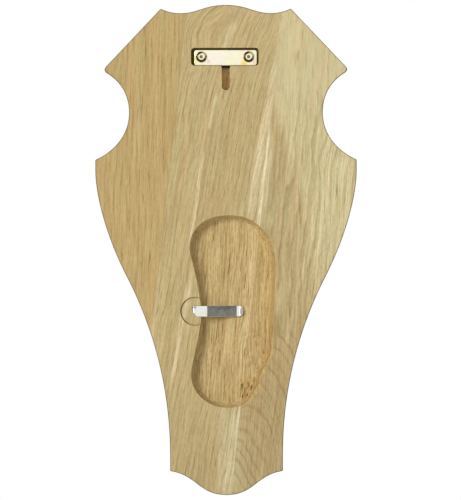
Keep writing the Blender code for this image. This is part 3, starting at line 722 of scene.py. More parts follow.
def streak_group(name, places):
    """Streaks along the grain between given places, with soft sides, frayed ends and a wandering course."""
    inputs = [("Place", VECTOR, None)]
    w, given, out = new_group(name, "ShaderNodeTree", inputs, {}, {"Share": FLOAT})
    place = given["Place"]
    x, y, z = w.split(place)
    wandering = w.total(x, w.around(w.grain(place, 25, 30), 3.0))
    frayed = w.line(w.grain(place, 0.8, 16, 3.0), 1.0, 0.5)
    share = 0.0
    for top_x, top_z, foot_x, foot_z, width, strength in places:
        slope = (foot_x - top_x) / (foot_z - top_z)
        soft = STREAK_SOFTNESS * (top_z - foot_z)
        aside = w.line(z, -slope, w.minus(wandering, top_x - slope * top_z))
        spread = w.math("DIVIDE", w.math("ABSOLUTE", aside), frayed)
        side = w.fade(spread, 0.45 * width, width, strength)
        above_foot = w.step(z, foot_z - soft / 2, foot_z + soft)
        below_top = w.fade(z, top_z - soft, top_z + soft / 2)
        share = w.line(side, w.product(above_foot, below_top), share)
    w.give(out, Share=w.math("MINIMUM", share, 1.0))
    return w.tree


# Grain of each stave, in millimetres, with how the fibres lean and the pith that its rings run round
STAVES = {
    "near": {
        "Lean": 0.035, "Pith across": -70.0, "Pith depth": 46.0, "Ring width": 3.4, "Ring strength": -0.20,
        "Seed": 31.0,
    },
    "middle": {
        "Lean": 0.165, "Bend": 0.0024, "Bend from": -35.0, "Pith across": 75.0, "Pith depth": 40.0,
        "Ring width": 3.1, "Ring strength": -0.20, "Waviness": 7.0, "Knot": (17.0, 0.0, 24.0),
        "Knot push": -7.0, "Seed": 7.0,
    },
    "far": {
        "Lean": 0.085, "Pith across": -26.0, "Pith depth": 46.0, "Fall": 0.40, "Fall from": -165.0,
        "Ring width": 3.0, "Ring strength": -0.32, "Waviness": 9.0, "Seed": 87.0,
    },
}

# Streaks along the grain: the place (x, z) of the top and of the foot, half the width and the strength, with
# places in millimetres. Their ends fade over a share of their length.
STREAK_SOFTNESS = 0.2
PALE_STREAKS = (
    (-28.4, -36.0, -20.6, -101.0, 2.9, 0.90),
    (-23.2, -36.0, -13.8, -96.0, 2.2, 0.45),
    (-29.0, -12.0, -14.0, -74.0, 2.2, 0.35),
    (-8.9, -208.0, -3.8, -263.0, 2.0, 0.68),
    (-4.6, -210.0, 0.6, -263.0, 2.4, 0.35),
    (1.4, -205.0, 3.4, -266.0, 3.4, 0.25),
    (13.4, -52.0, 22.9, -114.0, 1.4, 0.50),
    (-5.6, 27.0, 1.6, 7.0, 3.0, 0.40),
    (5.6, -17.0, 10.4, -40.0, 1.3, 0.45),
    (22.2, -129.0, 34.0, -194.0, 2.0, 0.50),
    (-43.6, -58.0, -42.6, -86.0, 1.1, 0.60),
    (-53.5, -54.0, -51.5, -88.0, 1.8, 0.35),
    (-49.8, -118.0, -33.4, -178.0, 1.8, 0.40),
    (-62.0, -70.0, -55.0, -118.0, 1.4, 0.30),
    (40.0, -120.0, 46.0, -170.0, 1.2, 0.25),
)
BROWN_STREAKS = (
    (-30.6, -37.0, -28.6, -86.0, 1.6, 0.45),
    (-33.4, -32.0, -31.0, -72.0, 2.6, 0.20),
    (-36.8, -50.0, -34.6, -92.0, 1.1, 0.50),
    (-44.6, -74.0, -45.4, -101.0, 0.8, 0.80),
    (-38.0, -100.0, -36.0, -118.0, 1.2, 0.35),
    (57.0, -4.0, 56.2, -40.0, 0.9, 0.45),
    (38.6, 6.0, 37.0, -32.0, 0.9, 0.50),
    (27.8, -26.0, 32.4, -48.0, 1.1, 0.50),
    (60.5, -84.0, 53.0, -122.0, 1.2, 0.35),
    (-12.0, 12.0, -7.0, -18.0, 1.0, 0.35),
    (-18.5, 26.0, -12.5, -6.0, 1.1, 0.35),
    (44.0, -62.0, 42.0, -108.0, 1.0, 0.30),
    (27.0, -200.0, 31.5, -236.0, 1.0, 0.30),
)


# Tints that the oak's colour is multiplied by, among them painted shade on the arris and round the clip's
# recess, and painted light on the pocket's far wall and at the far end of the plate's recess
OAK_TINTS = {
    "brown": (0.80, 0.70, 0.54), "pinkish": (1.025, 0.99, 0.97), "greenish": (0.98, 1.005, 0.99),
    "foot": (0.93, 0.94, 0.94), "bright": (1.24, 1.26, 1.36), "dark": (0.78, 0.73, 0.62),
    "pore": (0.50, 0.40, 0.28), "glue": (0.62, 0.50, 0.36), "arris": (0.40, 0.38, 0.30),
    "recess rim shadow": (0.42, 0.30, 0.14), "far wall bounce light": (0.95, 0.86, 0.71), "lower_wall_bounce": (0.98, 0.88, 0.68),
    "lit far end of recess": (2.8, 2.6, 2.3),
}
# Centre of the painted bounce light low on the pocket's far wall, among the torn chips, in millimetres
CHIPS_CENTRE = (-13.5, -199.0)
# Colour of painted black shadow
NO_LIGHT = (0.008, 0.006, 0.004, 1.0)


def oak_base(w, place, seam, in_near, in_far, beyond, streaks, colours, staves):
    """The oak's colour before its fibres: the staves' own colours, the pale band and the streaks."""
    x, y, z = w.split(place)
    lower = w.fade(z, -175.0, -85.0)
    wedge = w.line(z, -0.393, seam)
    beside_seam = w.product(w.step(wedge, FAR_SEAM + 3.0, FAR_SEAM + 12.0, 0.0, 0.7), w.step(x, -52.0, -42.0))
    far = w.mix(w.math("MAXIMUM", lower, beside_seam), colours["far_upper"], colours["far_lower"])
    base = w.mix(in_near, colours["middle"], colours["near"])
    base = w.mix(w.product(w.math("MAXIMUM", in_far, beyond), staves), base, far)
    band_from = w.line(w.grain(place, 9, 70), 7.0, seam)
    band = w.product(w.fade(band_from, -27.0, -20.0), w.minus(1.0, in_far))
    band = w.product(band, w.step(z, -35.0, 0.0, 0.35 * staves, 0.10 * staves))
    pale_seam = w.mix_value(w.step(seam, FAR_SEAM - 0.2, FAR_SEAM + 0.2), 0.35, 1.0)
    pale = w.product(streaks["pale"], pale_seam, staves)
    base = w.mix(band, base, colours["sapwood"])
    base = w.mix(pale, base, tuple(1.12 * c for c in colours["sapwood"][:3]) + (1.0,))
    return w.dye(streaks["brown"], base, OAK_TINTS["brown"])


def oak_marks(w, name, place, colour, hue):
    """What only one of the oak's finishes shows: painted shade on the planed arris and round the clip's recess,
    painted bounce light on the pocket's far wall, painted light at the far end of the plate's recess, and a
    painted shadow at the slot's top.
    """
    x, y, z = w.split(place)
    if name == "planed":
        # Painted shade: the back arris and other planed rims are darkened where they round over
        arris = w.product(w.fade(y, -0.10, -0.005), w.step(y, -1.0, -0.7))
        # Painted shadow: a dark line round the clip recess's rim, strongest on the near side, where its wall
        # casts shade
        off_rim = w.math("ABSOLUTE", w.minus(w.distance(place, *RECESS_RIM_SHADOW_CENTRE), RECESS_RIM_SHADOW_RADIUS))
        rim_shadow_share = w.product(w.fade(off_rim, 0.15, 0.70), w.fade(y, -0.10, -0.02), w.step(y, -2.0, -1.8))
        outer = w.step(x, RECESS_RIM_SHADOW_CENTRE[0] + 1.0, RECESS_RIM_SHADOW_CENTRE[0] + 7.0, 0.35, 0.95)
        colour = w.dye(arris, colour, OAK_TINTS["arris"])
        colour = w.dye(w.product(rim_shadow_share, outer), colour, OAK_TINTS["recess rim shadow"])
    if name == "routed":
        # Painted light: the pocket's far wall, which faces the main light, is tinted orange for warm light
        # bounced onto it
        far_wall_bounce = w.product(w.fade(x, -25.0, -15.0), w.step(hue, 0.30, 0.62, 0.20, 0.9))
        # Painted light: the same warm bounce light, low on the far wall round the torn chips
        lower_wall_bounce = w.fade(w.line(hue, -16.0, w.distance(place, *CHIPS_CENTRE)), -6.0, 3.0, 0.8)
        colour = w.dye(far_wall_bounce, colour, OAK_TINTS["far wall bounce light"])
        colour = w.dye(lower_wall_bounce, colour, OAK_TINTS["lower_wall_bounce"])
    if name == "shaded":
        # Painted light: the far end of the plate's recess is brightened where its wall catches the main light
        colour = w.dye(w.fade(x, -20.2, -19.4, 0.8), colour, OAK_TINTS["lit far end of recess"])
    if name == "drilled":
        # Painted shadow: the slot's top, under the hanger plate, goes black
        colour = w.mix(w.step(z, -2.4, -0.8, 0.0, 0.85), colour, NO_LIGHT)
    return colour


def oak_material(name, groups, colours, finish):
    """Oak of three glued staves, with the values of one of its finishes."""
    material, w, shader, place = new_material(f"oak_{name}", 1000.0)
    x, y, z = w.split(place)
    seam = w.line(z, SEAM_LEAN, x)
    in_near = w.step(seam, NEAR_SEAM - 0.1, NEAR_SEAM + 0.1)
    in_far = w.fade(seam, FAR_SEAM - 0.1, FAR_SEAM + 0.1)
    parts = {}
    for key, values in STAVES.items():
        node = w.copy_of(groups["stave"], place)
        for label, value in values.items():
            node.inputs[label].default_value = value
        node.inputs["Lean"].default_value *= finish["lean"]
        node.inputs["Ring strength"].default_value *= finish["staves"]
        parts[key] = node.outputs
    values = []
    for label in ("Tone", "Hue", "Pores", "Height"):
        middle_or_near = w.mix_value(in_near, parts["middle"][label], parts["near"][label])
        values.append(w.mix_value(in_far, middle_or_near, parts["far"][label]))
    tone, hue, pores, height = values
    steeper = w.fade(w.line(z, 0.2, x), -28.6, -28.1)
    beyond = w.product(steeper, w.step(z, -58.0, -30.0, 0.0, 0.85))
    streaks = {kind: w.copy_of(groups[kind], place).outputs[0] for kind in ("pale", "brown")}
    base = oak_base(w, place, seam, in_near, in_far, beyond, streaks, colours, finish["staves"])
    pinkish = w.dyed(base, OAK_TINTS["pinkish"])
    greenish = w.dyed(base, OAK_TINTS["greenish"])
    base = w.mix(w.step(hue, 0.36, 0.64), pinkish, greenish)
    base = w.dye(w.fade(z, -255.0, -175.0), base, OAK_TINTS["foot"])
    swing = w.step(tone, 0.5 - finish["tone range"], 0.5 + finish["tone range"])
    calm = w.math("MAXIMUM", w.product(in_far, w.step(z, -45.0, -5.0, 0.0, 0.6)), w.product(in_near, 0.25))
    swing = w.mix_value(calm, swing, 0.5)
    colour = w.mix(swing, w.dyed(base, OAK_TINTS["dark"]), w.dyed(base, OAK_TINTS["bright"]))
    pore_share = w.math("MULTIPLY", pores, finish["pores"], clamp=True)
    colour = w.dye(pore_share, colour, OAK_TINTS["pore"])
    near_line = w.fade(w.math("ABSOLUTE", w.minus(seam, NEAR_SEAM)), 0.05, 0.30)
    far_line = w.fade(w.math("ABSOLUTE", w.minus(seam, FAR_SEAM)), 0.05, 0.30)
    far_line = w.product(far_line, w.minus(1.0, beyond))
    glue = w.product(w.math("MAXIMUM", near_line, far_line), 0.30)
    colour = w.dye(glue, colour, OAK_TINTS["glue"])
    colour = oak_marks(w, name, place, colour, hue)
    colour = w.dyed(colour, tuple(finish["shade"] * c for c in finish["warmth"]))
    roughness = w.line(pores, 0.2, w.line(tone, 0.1, finish["roughness"]))
    surface(w, shader, colour, roughness, height, finish["relief"])
    shader.inputs["Specular IOR Level"].default_value = 0.32
    return material


def scratch_group():
    """Fine scratches and cloudy patches on plated or rolled metal, along the first axis of its place."""
    inputs = [("Place", VECTOR, None)]
    outputs = dict.fromkeys(("Scratches", "Clouds", "Patches"), FLOAT)
    w, given, out = new_group("metal wear", "ShaderNodeTree", inputs, {"Length": 9.0, "Seed": 0.0}, outputs)
    seeded = w.moved(given["Place"], w.join(given["Seed"], given["Seed"], given["Seed"]))
    x, y, z = w.split(seeded)
    lines = w.join(w.math("DIVIDE", x, given["Length"]), w.product(y, 6.0), w.product(z, 6.0))
    clouds = w.noise(w.scaled(seeded, 0.22, 0.22, 0.22), 3.0, 0.55)
    patches = w.noise(w.scaled(seeded, 0.11, 0.11, 0.16), 1.0)
    w.give(out, Scratches=w.noise(lines, 3.0, 0.65), Clouds=clouds, Patches=patches)
    return w.tree


def metal_material(name, colour, tints, roughness, spread, seed, spots=(), rings=()):
    """Plated or rolled metal with faint tints, cloudy gloss and fine scratches.

    Each spot is a tinted patch, tints of the plating on the plate and darker patches, mostly painted
    reflections, on the clip: its place (x, z) and reach in millimetres, its strength and its colour. The rings
    paint reflections, highlights and shade on the screws and on the clip's tip. Each gives its centre (x, z),
    inner and outer radius, strength, the strength that is left at its upper far side, and its colour.
    """
    material, w, shader, place = new_material(name, 1000.0)
    wear = w.copy_of(bpy.data.node_groups.get("metal wear") or scratch_group(), place)
    wear.inputs["Seed"].default_value = seed
    scratches, clouds, patches = wear.outputs
    tinted = w.mix(w.step(clouds, 0.46, 0.66), colour, tints[0])
    tinted = w.mix(w.step(patches, 0.52, 0.70), tinted, tints[1])
    tinted = w.mix(w.step(clouds, 0.48, 0.30), tinted, tints[2])
    for spot_x, spot_z, reach, strength, spot_colour in spots:
        ragged = w.line(clouds, 2.4 * reach, w.minus(w.distance(place, spot_x, spot_z), 1.2 * reach))
        tinted = w.mix(w.fade(ragged, 0.2 * reach, reach, strength), tinted, spot_colour)
    # Rings of painted reflection, highlight and shade
    for ring_x, ring_z, inner, outer, strength, opened, ring_colour in rings:
        away = w.moved(w.scaled(place, 1.0, 0.0, 1.0), (-ring_x, 0.0, -ring_z))
        radius = w.vectors("LENGTH", away, output="Value")
        upper = w.vectors("DOT_PRODUCT", w.vectors("NORMALIZE", away), UPPER_FAR_SIDE, output="Value")
        ring = w.product(w.step(radius, inner - 0.2, inner + 0.2), w.fade(radius, outer - 0.2, outer + 0.2))
        tinted = w.mix(w.product(ring, w.step(upper, 0.35, 0.85, strength, opened)), tinted, ring_colour)
    tinted = w.dye(w.step(scratches, 0.50, 0.80, 0.0, 0.25), tinted, (0.6, 0.6, 0.6))
    gloss = w.total(w.line(clouds, spread, roughness - spread / 2), w.product(scratches, 0.08))
    surface(w, shader, tinted, gloss, scratches, SCRATCH_DEPTH)
    shader.inputs["Metallic"].default_value = 1.0
    return material


def screw_tree():
    """Pan head screws with a cross recess, one on each point of a mesh, turned by the point's own angle."""
    inputs = [("Seats", GEOMETRY, None), ("Sides", INT, 56), ("Metal", MATERIAL, None)]
    floats = {
        "Head diameter": 0.006, "Head height": HEAD_HEIGHT, "Rim height": HEAD_RIM,
        "Flat radius": HEAD_FLAT_RADIUS, "Shank radius": SHANK_RADIUS, "Length": 0.012,
        "Point length": POINT_LENGTH, "Cross length": CROSS_SIZE[0], "Cross width": CROSS_SIZE[1],
        "Cross depth": CROSS_SIZE[2],
    }
    w, given, out = new_group("pan head screws", "GeometryNodeTree", inputs, floats, {"Screws": GEOMETRY})
    circle = w.geo("CurvePrimitiveCircle", {"Resolution": given["Sides"], "Radius": 1.0})
    share = w.node("GeometryNodeSplineParameter").outputs["Factor"]

    def turned(radius, height, count):
        """A solid turned about the upright axis, from its radius and height along a line of points."""
        line = w.geo("CurvePrimitiveLine", {"End": (0.0, 0.0, 1.0)})
        line = w.geo("ResampleCurve", {"Curve": line, "Count": count})
        stored = {"Geometry": line, "Name": "turned radius", "Value": radius}
        line = w.geo("StoreNamedAttribute", stored, data_type="FLOAT")
        line = w.geo("SetPosition", {"Geometry": line, "Position": w.join(0.0, 0.0, height)})
        size = w.geo("InputNamedAttribute", {"Name": "turned radius"}, data_type="FLOAT")
        swept = {"Curve": line, "Profile Curve": circle, "Scale": size, "Fill Caps": True}
        return w.geo("CurveToMesh", swept)

    first = 1 / (HEAD_STEPS - 1)
    wall = w.math("MULTIPLY", share, HEAD_STEPS - 1.0, clamp=True)
    dome_share = w.math("DIVIDE", w.minus(share, first), 1 - first, clamp=True)
    angle = w.product(dome_share, math.pi / 2)
    rise = w.minus(given["Head height"], given["Rim height"])
    shoulder = w.minus(w.math("DIVIDE", given["Head diameter"], 2.0), given["Flat radius"])
    head_radius = w.line(w.math("COSINE", angle), shoulder, given["Flat radius"])
    head_z = w.line(w.math("SINE", angle), rise, w.product(wall, given["Rim height"]))
    head = turned(head_radius, head_z, HEAD_STEPS)
    from_tip = w.product(share, w.total(given["Length"], SHANK_INTO_HEAD))
    shank_share = w.math("DIVIDE", from_tip, given["Point length"], clamp=True)
    shank_radius = w.math("MAXIMUM", w.product(shank_share, given["Shank radius"]), TIP_RADIUS)
    shank = turned(shank_radius, w.minus(from_tip, given["Length"]), SHANK_STEPS)
    body = w.node("GeometryNodeMeshBoolean", {"Mesh 2": head}, operation="UNION", solver="EXACT")
    w.tree.links.new(shank, body.inputs["Mesh 2"])
    length, width, depth = (given["Cross " + label] for label in ("length", "width", "depth"))
    reach = w.product(depth, 2.0)
    tools = []
    for size in ((length, width), (width, length)):
        tools.append((w.geo("MeshCube", {"Size": w.join(*size, reach)}), given["Head height"]))
    pit = {"Vertices": 24, "Radius Top": PIT_RADII[0], "Radius Bottom": PIT_RADII[1], "Depth": depth}
    tools.append((w.geo("MeshCone", pit), w.minus(given["Head height"], depth)))
    whole = {"Mesh 1": body.outputs[0]}
    cross = w.node("GeometryNodeMeshBoolean", whole, operation="DIFFERENCE", solver="EXACT")
    for tool, z in tools:
        moved = w.geo("Transform", {"Geometry": tool, "Translation": w.join(0.0, 0.0, z)})
        w.tree.links.new(moved, cross.inputs["Mesh 2"])
    turn = w.geo("InputNamedAttribute", {"Name": "turn"}, data_type="FLOAT")
    facing = w.out("FunctionNodeEulerToRotation", {0: w.join(-math.pi / 2, turn, 0.0)})
    placed = {"Points": given["Seats"], "Instance": cross.outputs[0], "Rotation": facing}
    screws = w.geo("RealizeInstances", {0: w.geo("InstanceOnPoints", placed)})
    w.give(out, Screws=w.geo("SetMaterial", {"Geometry": screws, "Material": given["Metal"]}))
    return w.tree


def strip_tree():
    """A spring strip swept along a bent path, its foot cut in beside a tongue and its tip rounded."""
    inputs = [("Path", GEOMETRY, None), ("Metal", MATERIAL, None)]
    floats = {
        "Width": CLIP_WIDTH, "Thickness": CLIP_THICKNESS, "Edge radius": 0.0002, "Middle": 0.0,
        "Foot end": 0.0, "Tip end": 0.0, "Tab length": CLIP_TAB, "Upper cut length": CLIP_UPPER_CUT_LENGTH,
        "Upper cut height": CLIP_UPPER_CUT_HEIGHT, "Lower cut length": CLIP_LOWER_CUT_LENGTH,
        "Lower cut height": CLIP_WIDTH - CLIP_TONGUE_WIDTH - CLIP_UPPER_CUT_HEIGHT,
        "Tip rounding": CLIP_TIP_ROUNDING, "Step": 0.0002,
    }
    w, given, out = new_group("spring strip", "GeometryNodeTree", inputs, floats, {"Strip": GEOMETRY})
    path = w.geo("MeshToCurve", {"Mesh": given["Path"]})
    path = w.geo("ResampleCurve", {"Curve": path, "Length": given["Step"]}, mode="LENGTH")
    path = w.geo("SetCurveNormal", {"Curve": path}, mode="Z_UP")
    section = w.geo("CurvePrimitiveQuadrilateral", {"Width": given["Thickness"], "Height": given["Width"]})
    rounded = {"Curve": section, "Radius": given["Edge radius"], "Count": 3}
    section = w.geo("FilletCurve", rounded, mode="POLY")
    strip = w.geo("CurveToMesh", {"Curve": path, "Profile Curve": section, "Fill Caps": True})
    x, y, z = w.split(w.geo("InputPosition"))
    half = w.math("DIVIDE", given["Width"], 2.0)
    share = w.math("DIVIDE", w.total(w.minus(z, given["Middle"]), half), given["Width"])
    rounding = given["Tip rounding"]
    past = w.math("MAXIMUM", w.minus(w.total(given["Tip end"], rounding), x), 0.0)
    square = w.minus(w.product(rounding, rounding), w.product(past, past))
    chord = w.math("SQRT", w.math("MAXIMUM", square, 0.0))
    at_tip = w.total(w.minus(half, rounding), chord)
    tab_x = w.minus(given["Foot end"], given["Tab length"])

    def cut_corner(side):
        """How far an edge is cut in at the foot, growing over a length up to the tab."""
        cut_share = w.math("DIVIDE", w.minus(x, tab_x), given[side + " cut length"])
        return w.product(w.math("ADD", cut_share, 1.0, clamp=True), given[side + " cut height"])

    high = w.minus(at_tip, cut_corner("Upper"))
    low = w.minus(cut_corner("Lower"), at_tip)
    new_z = w.total(given["Middle"], low, w.product(share, w.minus(high, low)))
    strip = w.geo("SetPosition", {"Geometry": strip, "Position": w.join(x, y, new_z)})
    strip = w.geo("RealizeInstances", {0: strip})
    w.give(out, Strip=w.geo("SetMaterial", {"Geometry": strip, "Material": given["Metal"]}))
    return w.tree


def grown(obj, tree, values):
    """Runs a geometry tree on an object with named values, and leaves the result as its plain mesh."""
    modifier = obj.modifiers.new(tree.name, "NODES")
    modifier.node_group = tree
    identifiers = {item.name: item.identifier for item in tree.interface.items_tree if item.in_out == "INPUT"}
    for label, value in values.items():
        modifier[identifiers[label]] = value
    plain_mesh(obj)
    bm = bmesh.new()
    bm.from_mesh(obj.data)
    bmesh.ops.remove_doubles(bm, verts=bm.verts, dist=1e-7)
    bmesh.ops.recalc_face_normals(bm, faces=bm.faces)
    bm.to_mesh(obj.data)
    bm.free()
    return obj


def seat_mesh(name, points, edges=()):
    """A mesh of bare points and edges, for a geometry tree to work on."""
    mesh = bpy.data.meshes.new(name)
    mesh.from_pydata([tuple(p) for p in points], list(edges), [])
    return mesh


def color_property(name, description, *default):
    return bpy.props.FloatVectorProperty(
        name=name, description=description, default=(*default, 1.0), size=4, min=0.0, max=1.0, subtype="COLOR"
    )


def length_property(name, description, default):
    return bpy.props.FloatProperty(
        name=name, description=description, default=default, min=0.0, precision=5, unit="LENGTH"
    )


class PlaqueBoardSettings(bpy.types.PropertyGroup):
    """Edges and colours of the oak shield."""

    back_round: length_property("Back arris", "Rounding of the edge round the back", 0.0007)
    front_round: length_property("Front arris", "Rounding of the edge round the front", 0.0003)
    rim: length_property("Rim of cuts", "Easing of the rims of the slot and the recesses", 0.00025)
    near_oak: color_property("Near stave", "Colour of the stave at the clip's side", 0.455, 0.332, 0.136)
    middle_oak: color_property("Middle stave", "Colour of the middle stave", 0.474, 0.370, 0.176)
    far_oak: color_property("Far stave, top", "Colour of the far stave's upper half", 0.575, 0.500, 0.275)
    far_foot_oak: color_property("Far stave, foot", "Colour of the far stave's foot", 0.442, 0.338, 0.160)
    sapwood: color_property("Sapwood", "Colour of the pale band beside the far seam", 0.660, 0.580, 0.370)


class PlaqueHangerSettings(bpy.types.PropertyGroup):
    """The hanger plate and its screws."""

    edge_round: length_property("Plate edge", "Rounding of the plate's edges", 0.0002)
    plate_colour: color_property("Plate", "Colour of the plate's zinc", 0.93, 0.87, 0.69)
    screw_colour: color_property("Screws", "Colour of the screws' zinc", 0.93, 0.86, 0.60)
    left_turn: bpy.props.FloatProperty(
        name="Left turn", description="How far the left screw is turned", default=0.35, subtype="ANGLE"
    )
    right_turn: bpy.props.FloatProperty(
        name="Right turn", description="How far the right screw is turned", default=0.9, subtype="ANGLE"
    )


class PlaqueClipSettings(bpy.types.PropertyGroup):
    """The jaw clip."""

    edge_radius: length_property("Strip edge", "Rounding of the strip's edges", 0.00018)
    steel: color_property("Steel", "Colour of the spring steel", 0.87, 0.89, 0.81)


class PlaqueStageSettings(bpy.types.PropertyGroup):
    """Floor, light and camera."""

    key_power: bpy.props.FloatProperty(
        name="Main light", description="Power of the soft light at the upper left", default=12.0, unit="POWER"
    )
    front_power: bpy.props.FloatProperty(
        name="Front light", description="Power of the light at the board's front", default=14.0, unit="POWER"
    )
    surround: bpy.props.FloatProperty(
        name="Surround", description="Brightness of the room round the plaque", default=0.40, min=0.0
    )
    floor_colour: color_property("Floor", "Colour of the floor", 0.80, 0.79, 0.77)


# How the oak looks where it is planed, routed out for the pocket, drilled for the slot, deep in shade behind
# the hanger plate, and torn. The shaded finish paints that deep shade into the colour, and the drilled finish
# is painted brighter, standing in for light that reaches into the slot. "Staves" is how far the staves' own
# colours show, and a small tone range makes the grain stand out more.
OAK_FINISHES = {
    "planed": {
        "shade": 1.0, "warmth": (1.0, 1.0, 1.0), "pores": 0.6, "roughness": 0.52, "relief": 0.00003,
        "lean": 1.0, "staves": 1.0, "tone range": 0.50,
    },
    "routed": {
        "shade": 1.10, "warmth": (1.0, 0.96, 0.92), "pores": 1.0, "roughness": 0.66, "relief": 0.00014,
        "lean": 0.35, "staves": 0.3, "tone range": 0.30,
    },
    "drilled": {
        "shade": 1.45, "warmth": (1.0, 0.95, 0.97), "pores": 1.5, "roughness": 0.66, "relief": 0.00012,
        "lean": 0.35, "staves": 1.0, "tone range": 0.34,
    },
    "shaded": {
        "shade": 0.30, "warmth": (1.0, 0.94, 0.52), "pores": 1.3, "roughness": 0.80, "relief": 0.00009,
        "lean": 1.0, "staves": 1.0, "tone range": 0.50,
    },
    "torn": {
        "shade": 0.85, "warmth": (1.0, 0.84, 0.62), "pores": 1.3, "roughness": 0.80, "relief": 0.00020,
        "lean": 0.35, "staves": 0.3, "tone range": 0.40,
    },
}


def oak_materials():
    """The oak's finishes, which share one grain."""
    settings = bpy.context.scene.plaque_board
    colours = {
        "near": settings.near_oak[:],
        "middle": settings.middle_oak[:],
        "far_upper": settings.far_oak[:],
        "far_lower": settings.far_foot_oak[:],
        "sapwood": settings.sapwood[:],
    }
    groups = {
        "stave": stave_group(),
        "pale": streak_group("pale streaks", PALE_STREAKS),
        "brown": streak_group("brown streaks", BROWN_STREAKS),
    }
    return {name: oak_material(name, groups, colours, finish) for name, finish in OAK_FINISHES.items()}


def pocket_cutter(material):
    """The jaw pocket's cutter: an eased rim, softest low on the far side, a coved wall and a flat floor."""
    points = pocket_outline()
    outward, cove = pocket_walls(points)
    near_worn = np.exp(-(np.linalg.norm(points - WORN_RIM_CENTRE, axis=1) / WORN_RIM_REACH) ** 2)
    rim = 0.00025 + 0.0006 * np.clip(-outward[:, 0], 0.0, 1.0) + 0.0016 * near_worn
    depths = rim * 0.7
    rings = [[(x, CUT_OVERSHOOT, z) for x, z in points + outward * rim[:, None]]]
    for a in quarter(5):
        moved = points + outward * (rim * (1 - math.sin(a)))[:, None]
        rings.append([(x, -d * (1 - math.cos(a)), z) for (x, z), d in zip(moved, depths)])
    for a in quarter(14)[1:]:
        moved = points - outward * (cove * (1 - math.cos(a)))[:, None]
        rings.append([(x, -d - (POCKET_DEPTH - d) * math.sin(a), z) for (x, z), d in zip(moved, depths)])
    cutter = loft("jaw_pocket_cut", rings)
    cutter.data.materials.append(material)
    return cutter


def chip_cutters(material):
    """Small torn hollows low on the pocket's far wall, long along the grain."""
    rng = np.random.default_rng(4)
    cutters = []
    for k, (x, z, length, width) in enumerate(CHIPS):
        mesh = bpy.data.meshes.new(f"chip_cut_{k + 1}")
        bm = bmesh.new()
        bmesh.ops.create_icosphere(bm, subdivisions=2, radius=1.0)
        for vert in bm.verts:
            vert.co *= 1.0 + rng.uniform(-0.22, 0.22)
        bm.transform(Matrix.Diagonal((width / 2, CHIP_DEPTH, length / 2, 1.0)))
        bm.transform(Matrix.Rotation(rng.uniform(-0.25, 0.05), 4, "Y"))
        bm.transform(Matrix.Translation((x, -wall_depth(x, z), z)))
        bm.to_mesh(mesh)
        bm.free()
        mesh.materials.append(material)
        cutters.append(add_object(mesh.name, mesh))
    return cutters


def recess_outline(out):
    """The hanger plate's recess, moved outwards by a length."""
    x_low = PLATE_LOW[0] - RECESS_GAP_FAR_END - out
    x_high = PLATE_HIGH[0] + RECESS_GAP_NEAR_END + out
    z_low = PLATE_LOW[2] - PRESS_GAP - out
    z_high = PLATE_HIGH[2] + RECESS_GAP_TOP + out
    return rounded_rectangle(x_low, x_high, z_low, z_high, RECESS_CORNER_RADIUS + out)


def slot_outline(out):
    """The nail's slot, moved outwards by a length."""
    half = SLOT_WIDTH / 2
    points = arc((0.0, SLOT_BEHIND_PLATE - half), half + out, 0, 180)
    return points + arc((0.0, half - SLOT_BELOW_PLATE), half + out, 180, 180)


def clip_recess_outline(out):
    """The clip's round recess, moved outwards by a length. It runs on over the pocket."""
    return arc(CLIP_RECESS_CENTRE, CLIP_RECESS_RADIUS + out, 0, 360, 20)[:-1]


def slit_outline(out):
    """The slit that the clip's tongue stands in."""
    tongue_high = CLIP_Z + CLIP_WIDTH / 2 - CLIP_UPPER_CUT_HEIGHT
    top = tongue_high + PRESS_GAP
    low = tongue_high - CLIP_TONGUE_WIDTH - PRESS_GAP
    far = CLIP_FOOT_END - 2 * CLIP_THICKNESS
    near = CLIP_FOOT_END + PRESS_GAP
    return [(far - out, low - out), (near + out, low - out), (near + out, top + out), (far - out, top + out)]


def screw_seats():
    """Where the screws stand: the middle of each head's underside."""
    boxes = SCREW_BOXES
    return [((low[0] + high[0]) / 2, high[1] - HEAD_HEIGHT, (low[2] + high[2]) / 2) for low, high in boxes]


def hole_outline(seat):
    """A screw's hole, as a function of how far it is moved outwards."""
    return lambda out: arc((seat[0], seat[2]), HOLE_RADIUS + out, 0, 360, 10)[:-1]


class PLAQUE_OT_board(bpy.types.Operator):
    """Make the oak shield with its slot, its recesses and its jaw pocket"""

    bl_idname = "plaque.board"
    bl_label = "Oak shield"

    def execute(self, context):
        settings = context.scene.plaque_board
        oak = oak_materials()
        profile = edge_profile(settings.back_round, settings.front_round)
        rings = [[(x, -depth, z) for x, z in board_ring(inset)] for inset, depth in profile]
        board = loft("oak_shield", rings, closed=False)
        board.data.materials.append(oak["planed"])
        mirror = board.modifiers.new("halves", "MIRROR")
        mirror.merge_threshold = 0.00001
        rim = settings.rim
        planed, shaded = oak["planed"], oak["shaded"]
        cuts = [
            cut_from_back("recess_cut", recess_outline, SEAT_GAP - PLATE_LOW[1], rim, 0.0003, shaded),
            cut_from_back("slot_cut", slot_outline, POCKET_DEPTH, rim, 0.0006, oak["drilled"]),
            pocket_cutter(oak["routed"]),
            cut_from_back("clip_recess_cut", clip_recess_outline, CLIP_RECESS_DEPTH, rim, 0.0002, planed),
            cut_from_back("slit_cut", slit_outline, SEAT_GAP - CLIP_TONGUE_Y, 0.00005, 0.00005, shaded),
        ]
        for seat in screw_seats():
            depth = BOARD_THICKNESS - WOOD_PAST_SCREWS
            cuts.append(cut_from_back("pilot_cut", hole_outline(seat), depth, 0.0001, 0.0001, shaded))
        cuts += chip_cutters(oak["torn"])
        for cutter in cuts:
            cut(board, cutter)
        plain_mesh(board, cuts)
        return settle(board, "oak", "shield_board")


